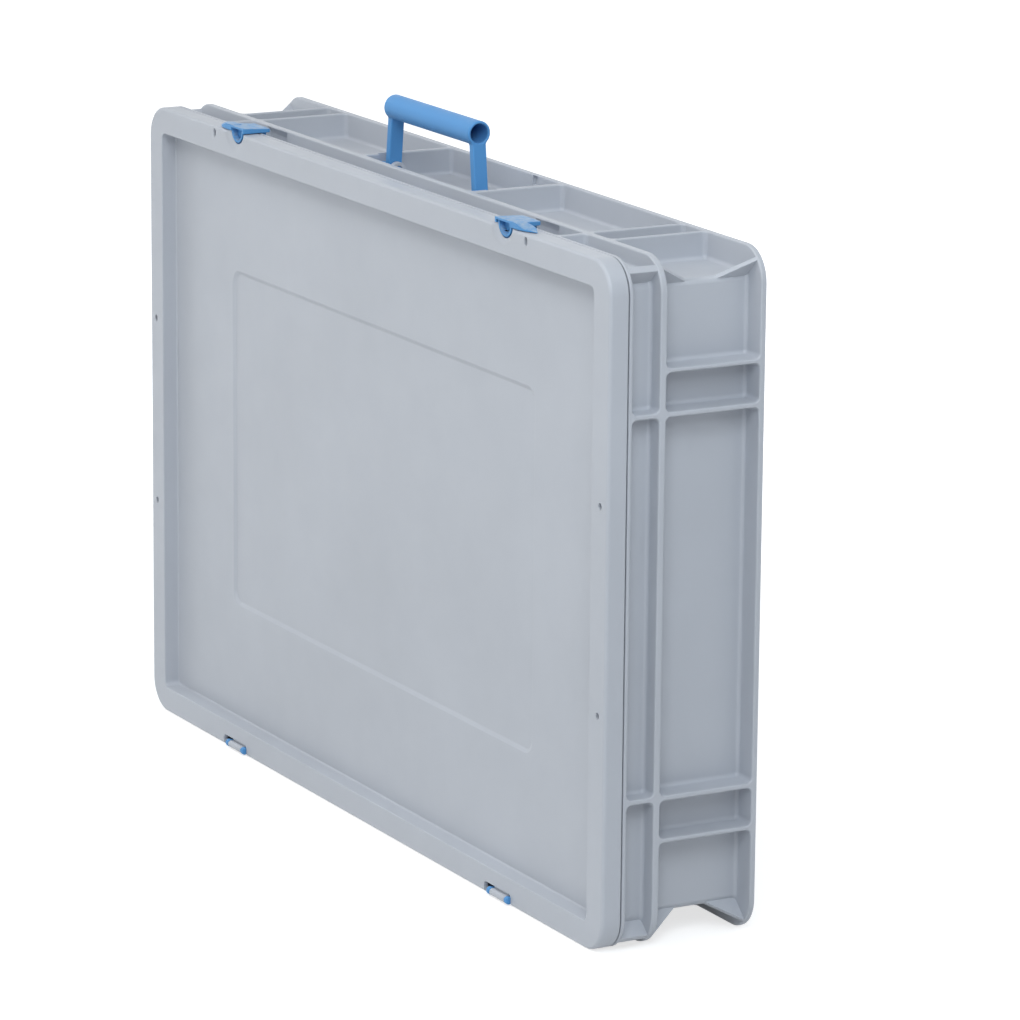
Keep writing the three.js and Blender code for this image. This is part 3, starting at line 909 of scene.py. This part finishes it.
def lug(side):
    """A lug on the well's floor, round on top, that carries a pin of the handle."""
    floor = CASE_HEIGHT - DEEP_SIDE_INSET - ROOT
    foot = LUG_RADIUS + LUG_FLARE
    outline = [(PIVOT_Y - foot, floor), (PIVOT_Y + foot, floor)]
    outline += arc((PIVOT_Y, PIVOT_Z), LUG_RADIUS, 0, 180, ARC_STEPS)
    x = side_span(side, LUG_FACE - LUG_THICKNESS, LUG_FACE)
    return prism(outline, x, along_x, LUG_ROUNDING)


def pin_slot(side):
    """The slot in the rib's inner face that a pin slides down when the handle is fitted."""
    face = HANDLE_RIB_SPREAD - HANDLE_RIB_THICKNESS / 2
    outline = arc((PIVOT_Y, PIVOT_Z), PIN_SLOT_RADIUS, 180, 360, ARC_STEPS)
    outline.append((PIVOT_Y + PIN_SLOT_RADIUS, CASE_HEIGHT + OVERRUN))
    outline.append((PIVOT_Y - PIN_SLOT_RADIUS, CASE_HEIGHT + OVERRUN))
    x = side_span(side, face - OVERRUN, face + PIN_SLOT_DEPTH)
    return prism(outline, x, along_x)


def latch_pocket(side):
    """The pocket in the middle flange behind a latch."""
    x = [side * LATCH_SPREAD + reach for reach in POCKET_REACH]
    front = MIDDLE_FRONT - OVERRUN
    back = MIDDLE_FRONT + POCKET_DEPTH
    floor = CASE_HEIGHT - OUTER_INSET + POCKET_FLOOR_RISE
    bend = (MIDDLE_FRONT + POCKET_DEPTH * POCKET_BEND_SHARE, POCKET_TOP - POCKET_BEND_DROP)
    slope_end = (back, POCKET_TOP - POCKET_SLOPE_DROP)
    outline = [(front, floor), (back, floor), slope_end, bend, (front, POCKET_TOP)]
    return prism(outline, x, along_x, PLATE_ROUNDING)


def tub_cuts(side):
    """The pin's slot and bore, the grip's catch, the latch's pocket and the clip's opening."""
    lug_bore = side_span(side, LUG_FACE - LUG_THICKNESS - OVERRUN, LUG_FACE + OVERRUN)
    catch = side_span(side, CATCH_SPREAD - CATCH_WIDTH / 2, CATCH_SPREAD + CATCH_WIDTH / 2)
    catch_depths = (BASE_FRONT - 2 * OVERRUN, BASE_FRONT + CATCH_DEPTH)
    catch_ceiling = CASE_HEIGHT - CATCH_TOP
    catch_levels = (catch_ceiling - CATCH_HEIGHT, catch_ceiling)
    clip_middle = side * HINGE_SPREAD + HINGE_SHIFT
    clip_half = RING_END + CLEARANCE
    return [
        pin_slot(side),
        rod(lug_bore, PIN_RADIUS + CLEARANCE, PIVOT_Y, PIVOT_Z),
        box(catch, catch_depths, catch_levels, CATCH_ROUNDING),
        latch_pocket(side),
        box(
            (clip_middle - clip_half, clip_middle + clip_half),
            (RIM_FRONT - 2 * OVERRUN, RIM_BACK + 2 * OVERRUN),
            (-2 * OVERRUN, CLIP_TOP + CLEARANCE),
            LUG_ROUNDING,
        ),
    ]


def make_tub():
    tub = combined(tub_shell(), cells(), "DIFFERENCE")
    tub = combined(tub, corner_plates(), "UNION")
    for side in (-1, 1):
        tub = combined(tub, lug(side), "UNION")
        tub = without(tub, tub_cuts(side))
    return tub


# Handle


def fillet_reach(climb):
    """How far the leg's fillet stands out at a height above its foot."""
    climb = max(0, min(LEG_FILLET, climb))
    return LEG_FILLET - math.sqrt(LEG_FILLET**2 - climb**2)


def leg_sections():
    """Rounded sections up one leg, with fillets where it meets the grip."""
    grip_z = PIVOT_Z + GRIP_RISE
    foot_z = PIVOT_Z - LEG_WIDTH / 2
    fillet_foot = grip_z - GRIP_RADIUS - LEG_FILLET
    levels = [foot_z + rise for rise in LEG_RISES]
    levels += [fillet_foot + step * LEG_FILLET_STEP for step in range(LEG_FILLET_SECTIONS)]
    fillet_y = LEG_WIDTH / 2 + LEG_FILLET
    fillet_z = grip_z - math.sqrt((GRIP_RADIUS + LEG_FILLET) ** 2 - fillet_y**2)
    lean = (LEG_SPREAD_AT_GRIP - LEG_SPREAD_AT_PIVOT) / GRIP_RISE
    loops = []
    for z in levels:
        middle = LEG_SPREAD_AT_PIVOT + lean * (z - PIVOT_Z)
        half_x = LEG_THICKNESS / 2
        half_y = LEG_WIDTH / 2
        if z < PIVOT_Z:
            round_half = math.sqrt(max(0, half_y**2 - (PIVOT_Z - z) ** 2))
            half_y = max(LEG_FOOT_HALF_WIDTH, round_half)
        half_y += min(fillet_reach(z - fillet_z), LEG_WIDENING)

        def placed(x, y, z=z, middle=middle):
            under_grip = grip_z - math.sqrt(max(0, GRIP_RADIUS**2 - (y - PIVOT_Y) ** 2)) - z
            if x < middle:
                x -= fillet_reach(LEG_FILLET - under_grip)
            return (x, y, z)

        ladder = rungs(
            middle - half_x,
            middle + half_x,
            PIVOT_Y - half_y,
            PIVOT_Y + half_y,
            LEG_ROUNDING * min(1, half_y),
            FILLET_STEPS,
        )
        loops.append(loop_of(ladder, placed))
    return loops


def make_handle():
    grip_z = PIVOT_Z + GRIP_RISE
    end = GRIP_HALF_LENGTH
    bulge = GRIP_EDGE * GRIP_EDGE_BULGE
    outer = [
        (-end, GRIP_RADIUS - GRIP_EDGE),
        (-end + bulge, GRIP_RADIUS - bulge),
        (-end + GRIP_EDGE, GRIP_RADIUS),
    ]
    outer += [(-x, radius) for x, radius in reversed(outer)]
    grip = shifted(turned(outer, GRIP_STEPS), y=PIVOT_Y, z=grip_z)
    pin_x = (LUG_FACE - LUG_THICKNESS + CLEARANCE, PIN_END)
    pin = rod(pin_x, PIN_RADIUS, PIVOT_Y, PIVOT_Z, PIN_ROUNDING)
    leg = combined(stacked(leg_sections()), pin, "UNION")
    handle = united([grip, mirrored(leg), leg])
    mouth_radius = GRIP_BORE + GRIP_MOUTH + OVERRUN
    bore = [
        (-end - OVERRUN, mouth_radius),
        (-end + GRIP_MOUTH, GRIP_BORE),
        (end - GRIP_MOUTH, GRIP_BORE),
        (end + OVERRUN, mouth_radius),
    ]
    bore = shifted(turned(bore, GRIP_STEPS), y=PIVOT_Y, z=grip_z)
    return combined(handle, bore, "DIFFERENCE")


# Latches


def nose():
    """The end of a latch's plate: a lobe that slopes down to the lid at its front and at its end."""
    run = NOSE_END - NOSE_START
    height = PLATE_TOP - PLATE_BOTTOM
    stations = list(NOSE_ROOT_STATIONS)
    stations += [NOSE_START + run * math.sin(turn) for turn in quarter(NOSE_STEPS)[:-1]]
    loops = []
    for x in stations:
        share = max(0, (x - NOSE_START) / run)
        front = PLATE_FRONT + (NOSE_TIP_Y - PLATE_FRONT) * share**NOSE_FRONT_POWER
        to_shoulder = max(0, min(1, (x - NOSE_START) / (NOSE_SHOULDER - NOSE_START)))
        past_shoulder = max(0, (x - NOSE_SHOULDER) / (NOSE_END - NOSE_SHOULDER))
        back = NOSE_BACK - (NOSE_BACK - NOSE_TIP_Y - NOSE_TIP_WIDTH) * past_shoulder
        end_fall = NOSE_END_FALL * to_shoulder**NOSE_FALL_POWER + NOSE_TIP_FALL * past_shoulder
        front_fall = NOSE_FRONT_FALL * min(1, share * 2)

        def placed(y, level, x=x, front=front, back=back, end_fall=end_fall, front_fall=front_fall):
            to_front = (back - y) / (back - front)
            rise = height * (1 - end_fall) * (1 - front_fall * to_front**NOSE_FALL_POWER)
            return (x, y, PLATE_BOTTOM + level * rise)

        across = [front + (back - front) * step / NOSE_SPANS for step in range(1, NOSE_SPANS)]
        ladder = rungs(front, back, 0, 1, NOSE_ROUNDING, EDGE_STEPS, across)
        loops.append(loop_of(ladder, placed))
    return stacked(loops)


def thumb_recess():
    """The recess in the tongue's front; it narrows with its depth."""
    half_width = TONGUE_HALF_WIDTH - TONGUE_RIM
    bottom = TONGUE_BOTTOM + TONGUE_RIM
    stations = []
    for depth, flare in ((-OVERRUN, THUMB_FLARE), (THUMB_LIP, 0), (THUMB_DEPTH, -THUMB_FLARE)):
        stations.append((TONGUE_FRONT + depth, half_width + flare, bottom - flare, LIP_BOTTOM))
    return u_solid(stations)


def make_latch(side):
    """A latch: its plate with the nose, and under it the tongue, hub, hook and pins."""
    outline = [
        (PLATE_INNER_END, PLATE_FRONT),
        (PLATE_OUTER_END, PLATE_FRONT),
        (PLATE_OUTER_END, NOSE_BACK),
        (PLATE_OUTER_END - PLATE_TAPER, PLATE_BACK),
        (PLATE_INNER_END, PLATE_BACK),
    ]
    fall = PLATE_FALL / (PLATE_BACK - PLATE_FRONT)

    def falling(x, y, z):
        """The plate's top falls towards its back, and its bottom is level."""
        return (x, y, z - (y - PLATE_FRONT) * fall if z > PLATE_BOTTOM else z)

    plate = prism(outline, (PLATE_BOTTOM, PLATE_TOP), falling, PLATE_ROUNDING)
    under_lip = box(
        (PLATE_INNER_END + LIP_INNER_SETBACK, NOSE_START - LIP_OUTER_SETBACK),
        (PLATE_FRONT - OVERRUN, LIP_DEPTH),
        (PLATE_BOTTOM - OVERRUN, LIP_BOTTOM),
    )
    plate = combined(plate, under_lip, "DIFFERENCE")
    section = (TONGUE_HALF_WIDTH, TONGUE_BOTTOM, TONGUE_TOP)
    tongue = u_solid([(TONGUE_FRONT, *section), (TONGUE_BACK, *section)])
    tongue = bevelled(tongue, TONGUE_ROUNDING, segments=2)
    pins = rod(
        (-LATCH_PIN_END, LATCH_PIN_END),
        LATCH_PIN_RADIUS,
        *LATCH_PIVOT,
        LATCH_PIN_ROUNDING,
        PIN_STEPS,
    )
    latch = united([plate, nose(), tongue, hub_solid(), hook_solid(), pins])
    latch = without(latch, [thumb_recess(), box(SLIT_REACH, SLIT_DEPTHS, SLIT_LEVELS)])
    if side < 0:
        latch = mirrored_in_x(latch)
    return shifted(latch, x=side * LATCH_SPREAD)


def hub_solid():
    """The block behind the tongue, down to the pins; its front clears the slot as the latch tilts."""
    y, z = LATCH_PIVOT
    front = y + HUB_FRONT[0][0]
    back = y + HUB_DEPTH
    top = PLATE_BOTTOM + HUB_ROOT
    outline = [(front, top)]
    outline += [(y + reach, z + rise) for reach, rise in HUB_FRONT]
    outline += [(y + HUB_HEEL, z - HUB_SOLE), (back, z + HUB_WAIST), (back, top)]
    foot = prism(outline, (-HUB_FOOT_HALF_WIDTH, HUB_FOOT_HALF_WIDTH), along_x, HUB_FOOT_ROUNDING)
    block = box(
        (-HUB_HALF_WIDTH, HUB_HALF_WIDTH),
        (front - HUB_STEP, back - HUB_STEP),
        (HUB_FOOT_TOP, top - HUB_STEP),
        HUB_ROUNDING,
    )
    return combined(foot, block, "UNION")


def hook_solid():
    """The hook that reaches over the rim; its front is an arc about the pivot."""
    y, z = LATCH_PIVOT
    reach = math.hypot(RIM_BACK - y, CASE_HEIGHT - z) + CLEARANCE
    low = CASE_HEIGHT - HOOK_DROP
    high = PLATE_BOTTOM + ROOT
    start, end = (math.degrees(math.asin((level - z) / reach)) for level in (low, high))
    back = PLATE_BACK - HOOK_SETBACK
    chamfer_depth, chamfer_height = HOOK_CHAMFER
    outline = arc(LATCH_PIVOT, reach, start, end, SHORT_ARC_STEPS)
    outline += [(back, high), (back, low + chamfer_height), (back - chamfer_depth, low)]
    return prism(outline, (-HOOK_HALF_WIDTH, HOOK_HALF_WIDTH), along_x, HOOK_ROUNDING)


# Hinge clips


def make_clip(side):
    """A hinge clip: two rings, their arms through the rim, and a keeper behind it."""
    arm = (HINGE_Z - ARM_HEIGHT / 2, HINGE_Z + ARM_HEIGHT / 2)
    parts = []
    for end in (-1, 1):
        x = side_span(end, RING_START, RING_END)
        parts.append(rod(x, RING_RADIUS, HINGE_Y, HINGE_Z, RING_ROUNDING))
        parts.append(box(x, (HINGE_Y, ARM_END), arm, CLIP_ROUNDING))
    body = (-RING_END, RING_END)
    parts.append(box(body, (CLIP_FRONT, KEEPER_BACK), (CLIP_BOTTOM, CLIP_TOP), CLIP_ROUNDING))
    keeper = (-KEEPER_END - HINGE_SHIFT, KEEPER_END - HINGE_SHIFT)
    keeper_levels = (CLIP_BOTTOM, KEEPER_TOP)
    parts.append(box(keeper, (KEEPER_FRONT, KEEPER_BACK), keeper_levels, CLIP_ROUNDING))
    bore_end = RING_END - RING_WALL
    bore = rod((-bore_end, bore_end), RING_BORE, HINGE_Y, HINGE_Z)
    clip = combined(united(parts), bore, "DIFFERENCE")
    return shifted(clip, x=side * HINGE_SPREAD + HINGE_SHIFT)


# Materials

# Noise cells to a metre, and how many octaves they have
TONE_NOISE = (9, 3)
GLOSS_NOISE = (60, 4)
# The noise of the pale mottle on upward faces, which is a painted sheen with some dust
DUST_AND_SHEEN_NOISE = (260, 5)
GRAIN_NOISE = (1400, 2)
NOISE_LOW = 0.3
NOISE_HIGH = 0.7

# What the noises change
TONE_SPREAD = 0.03
GLOSS_SPREAD = 0.05
GRAIN_DEPTH = 0.05
PLASTIC_IOR = 1.49
VEIL_ROUGHNESS = 0.4


def plastic(name, colour, roughness, grain, shine, veil, dust_and_sheen=0.0):
    """Moulded plastic: a fine grain, slow changes of tone and gloss, and a dusty veil at low angles.

    Its upward faces can carry a pale mottle: a painted sheen, with some dust.
    """
    material = bpy.data.materials.new(name)
    material.use_nodes = True
    nodes, links = material.node_tree.nodes, material.node_tree.links
    shader = nodes["Principled BSDF"]
    place = nodes.new("ShaderNodeTexCoord")

    def noise(scale, detail):
        made = nodes.new("ShaderNodeTexNoise")
        made.inputs["Scale"].default_value = scale
        made.inputs["Detail"].default_value = detail
        links.new(place.outputs["Object"], made.inputs["Vector"])
        return made.outputs["Fac"]

    def mapped(value, low, high):
        made = nodes.new("ShaderNodeMapRange")
        made.inputs["From Min"].default_value = NOISE_LOW
        made.inputs["From Max"].default_value = NOISE_HIGH
        made.inputs["To Min"].default_value = low
        made.inputs["To Max"].default_value = high
        links.new(value, made.inputs["Value"])
        return made.outputs["Result"]

    tone = nodes.new("ShaderNodeHueSaturation")
    tone.inputs["Color"].default_value = (*colour, 1)
    tone_value = mapped(noise(*TONE_NOISE), 1 - TONE_SPREAD, 1 + TONE_SPREAD)
    links.new(tone_value, tone.inputs["Value"])
    finish = tone.outputs["Color"]
    # A pale colour mixed in by the face's upward normal and a noise: a painted sheen on top faces, with
    # some dust
    if dust_and_sheen:
        sides = nodes.new("ShaderNodeSeparateXYZ")
        dust_and_sheen_mask = nodes.new("ShaderNodeMath")
        dust_and_sheen_mask.operation = "MULTIPLY"
        dust_and_sheen_mask.use_clamp = True
        dust_and_sheen_mix = nodes.new("ShaderNodeMix")
        dust_and_sheen_mix.data_type = "RGBA"
        dust_and_sheen_mix.inputs["B"].default_value = (*DUST_AND_SHEEN_COLOUR, 1)
        links.new(place.outputs["Normal"], sides.inputs["Vector"])
        links.new(sides.outputs["Z"], dust_and_sheen_mask.inputs[0])
        links.new(mapped(noise(*DUST_AND_SHEEN_NOISE), 0, dust_and_sheen), dust_and_sheen_mask.inputs[1])
        links.new(dust_and_sheen_mask.outputs["Value"], dust_and_sheen_mix.inputs["Factor"])
        links.new(finish, dust_and_sheen_mix.inputs["A"])
        finish = dust_and_sheen_mix.outputs["Result"]
    links.new(finish, shader.inputs["Base Color"])
    gloss = mapped(noise(*GLOSS_NOISE), roughness - GLOSS_SPREAD, roughness + GLOSS_SPREAD)
    links.new(gloss, shader.inputs["Roughness"])
    bump = nodes.new("ShaderNodeBump")
    bump.inputs["Strength"].default_value = grain
    bump.inputs["Distance"].default_value = GRAIN_DEPTH * MM
    links.new(noise(*GRAIN_NOISE), bump.inputs["Height"])
    links.new(bump.outputs["Normal"], shader.inputs["Normal"])
    shader.inputs["IOR"].default_value = PLASTIC_IOR
    shader.inputs["Specular IOR Level"].default_value = shine
    shader.inputs["Sheen Weight"].default_value = veil
    shader.inputs["Sheen Roughness"].default_value = VEIL_ROUGHNESS
    return material


def srgb(red, green, blue):
    """An sRGB colour in 0 to 255 as a linear colour."""

    def linear(value):
        share = value / 255
        return share / 12.92 if share <= 0.04045 else ((share + 0.055) / 1.055) ** 2.4

    return tuple(map(linear, (red, green, blue)))


# The pale colour painted on upward faces: a painted sheen, with some dust
DUST_AND_SHEEN_COLOUR = srgb(166, 180, 192)
grey = plastic(
    "grey_plastic", srgb(180, 184, 192), roughness=0.46, grain=0.35, shine=0.5, veil=0.05
)
blue = plastic("blue_plastic", srgb(84, 147, 205), roughness=0.46, grain=0.3, shine=0.3, veil=0.05)
# Blue with a painted sheen and some dust on its upward faces
dust_and_sheen_blue = plastic(
    "dust_and_sheen_blue_plastic",
    srgb(80, 142, 197),
    roughness=0.5,
    grain=0.4,
    shine=0.3,
    veil=0.1,
    dust_and_sheen=0.8,
)


# The pieces: name, mesh, material, CAD node and body

PIECES = [
    ("tub_moulding", make_tub(), grey, "tub", "tub"),
    ("lid_moulding", make_lid(), grey, "lid", "lid"),
    ("handle_moulding", make_handle(), blue, "handle", "handle"),
    ("latch_left_moulding", make_latch(-1), dust_and_sheen_blue, "latch_left", "latch_left"),
    ("latch_right_moulding", make_latch(1), dust_and_sheen_blue, "latch_right", "latch_right"),
    ("hinge_clip_left_moulding", make_clip(-1), blue, "hinge_clip_left", "tub"),
    ("hinge_clip_right_moulding", make_clip(1), blue, "hinge_clip_right", "tub"),
]
for name, mesh, material, node, body in PIECES:
    piece = finished(name, mesh, material, node, body)


# Stage: the camera in millimetres and degrees, all else in metres

LENS = 193.4
SENSOR = 36
FAR_CLIP = 100
PLAIN_FLOOR = (0.8, 0.8, 0.8)
CAMERA_PLACE = (2867, -1519.6, 974)
CAMERA_AZIMUTH = 61.30
CAMERA_ELEVATION = 13.57
CAMERA_ROLL = 0.52


def set_camera():
    """A long lens to the right of the case and a little above it."""
    azimuth, elevation, roll = map(math.radians, (CAMERA_AZIMUTH, CAMERA_ELEVATION, CAMERA_ROLL))
    forward = Vector(
        (
            -math.sin(azimuth) * math.cos(elevation),
            math.cos(azimuth) * math.cos(elevation),
            -math.sin(elevation),
        )
    )
    level_right = forward.cross(Vector((0, 0, 1))).normalized()
    level_up = level_right.cross(forward)
    right = level_right * math.cos(roll) + level_up * math.sin(roll)
    up = level_up * math.cos(roll) - level_right * math.sin(roll)
    camera = bpy.data.objects.new("camera", bpy.data.cameras.new("camera"))
    camera.data.lens = LENS
    camera.data.sensor_width = SENSOR
    camera.data.clip_end = FAR_CLIP
    turn = Matrix((right, up, -forward)).transposed().to_4x4()
    camera.matrix_world = Matrix.Translation(Vector(CAMERA_PLACE) * MM) @ turn
    bpy.context.scene.collection.objects.link(camera)
    bpy.context.scene.camera = camera


def add_softbox(name, place, target, size, power, colour, glints=True):
    """A soft rectangular lamp at a place, aimed at a target. A fill lamp makes no glints."""
    lamp = bpy.data.lights.new(name, "AREA")
    lamp.shape = "RECTANGLE"
    lamp.size, lamp.size_y = size
    lamp.energy = power
    lamp.color = colour
    made = bpy.data.objects.new(name, lamp)
    made.location = place
    made.visible_glossy = glints
    away = Vector(place) - Vector(target)
    made.rotation_mode = "QUATERNION"
    made.rotation_quaternion = away.to_track_quat("Z", "Y")
    bpy.context.scene.collection.objects.link(made)


def seen_directly(nodes, links):
    """1 for the camera's rays and for those that glossy or clear surfaces send on, or else 0."""
    path = nodes.new("ShaderNodeLightPath")
    added = path.outputs["Is Camera Ray"]
    for name in ("Is Glossy Ray", "Is Transmission Ray"):
        total = nodes.new("ShaderNodeMath")
        total.operation = "MAXIMUM"
        links.new(added, total.inputs[0])
        links.new(path.outputs[name], total.inputs[1])
        added = total.outputs["Value"]
    return added


def set_world(colour, strength):
    world = bpy.data.worlds.new("studio")
    world.use_nodes = True
    nodes, links = world.node_tree.nodes, world.node_tree.links
    nodes.clear()
    lighting = nodes.new("ShaderNodeBackground")
    lighting.inputs["Color"].default_value = (*colour, 1)
    lighting.inputs["Strength"].default_value = strength
    backdrop = nodes.new("ShaderNodeBackground")
    backdrop.inputs["Color"].default_value = (1, 1, 1, 1)
    mix = nodes.new("ShaderNodeMixShader")
    out = nodes.new("ShaderNodeOutputWorld")
    links.new(seen_directly(nodes, links), mix.inputs["Fac"])
    links.new(lighting.outputs["Background"], mix.inputs[1])
    links.new(backdrop.outputs["Background"], mix.inputs[2])
    links.new(mix.outputs["Shader"], out.inputs["Surface"])
    bpy.context.scene.world = world


def add_floor(size, glow, glow_reach, shade):
    """A pale floor that the camera sees as white, with the case's shadow on it.

    It glows less than the backdrop where the case stands, and as much from the glow's reach on.
    """
    mesh = bmesh.new()
    bmesh.ops.create_grid(mesh, x_segments=1, y_segments=1, size=size)
    floor = as_object("floor", mesh)
    material = bpy.data.materials.new("floor")
    material.use_nodes = True
    nodes, links = material.node_tree.nodes, material.node_tree.links
    nodes.clear()
    plain = nodes.new("ShaderNodeBsdfDiffuse")
    plain.inputs["Color"].default_value = (*PLAIN_FLOOR, 1)
    seen = nodes.new("ShaderNodeBsdfDiffuse")
    seen.inputs["Color"].default_value = (shade, shade, shade, 1)
    place = nodes.new("ShaderNodeTexCoord")
    distance = nodes.new("ShaderNodeVectorMath")
    distance.operation = "LENGTH"
    rising = nodes.new("ShaderNodeMapRange")
    rising.interpolation_type = "SMOOTHSTEP"
    rising.inputs["From Min"].default_value = glow_reach / 2
    rising.inputs["From Max"].default_value = glow_reach
    rising.inputs["To Min"].default_value = glow
    rising.inputs["To Max"].default_value = 1
    light = nodes.new("ShaderNodeEmission")
    links.new(place.outputs["Object"], distance.inputs[0])
    links.new(distance.outputs["Value"], rising.inputs["Value"])
    links.new(rising.outputs["Result"], light.inputs["Strength"])
    added = nodes.new("ShaderNodeAddShader")
    mix = nodes.new("ShaderNodeMixShader")
    out = nodes.new("ShaderNodeOutputMaterial")
    links.new(seen.outputs["BSDF"], added.inputs[0])
    links.new(light.outputs["Emission"], added.inputs[1])
    links.new(seen_directly(nodes, links), mix.inputs["Fac"])
    links.new(plain.outputs["BSDF"], mix.inputs[1])
    links.new(added.outputs["Shader"], mix.inputs[2])
    links.new(mix.outputs["Shader"], out.inputs["Surface"])
    floor.data.materials.append(material)


SKY = (0.88, 0.94, 1)
DAYLIGHT = (0.98, 0.99, 0.97)
WARM = (1, 0.98, 0.93)
COOL = (0.9, 0.96, 1)
PALE_COOL = (0.95, 0.97, 1)
WIDE = (1.4, 1)
SQUARE = (0.8, 0.8)

set_camera()
set_world(SKY, strength=0.27)
add_softbox("front", (-0.4, -1.9, 0.9), (0, 0, 0.25), WIDE, 6.1, DAYLIGHT)
add_softbox("high", (0, -1.1, 2), (0, 0, 0.3), WIDE, 13.6, WARM)
add_softbox("right", (1.3, -0.6, 1.2), (0.3, 0, 0.2), SQUARE, 11.4, COOL)
add_softbox("high_right", (0.9, 0.2, 1.4), (0.2, 0, 0.35), SQUARE, 3, COOL)
add_softbox("back", (-0.5, 1.9, 0.7), (0, 0, 0.2), WIDE, 13, PALE_COOL, glints=False)
add_softbox("left", (-1.6, -0.2, 0.7), (-0.3, 0, 0.2), SQUARE, 10, COOL, glints=False)
add_floor(size=30, glow=0.7, glow_reach=1.1, shade=0.5)
bpy.context.scene.view_settings.view_transform = "Standard"
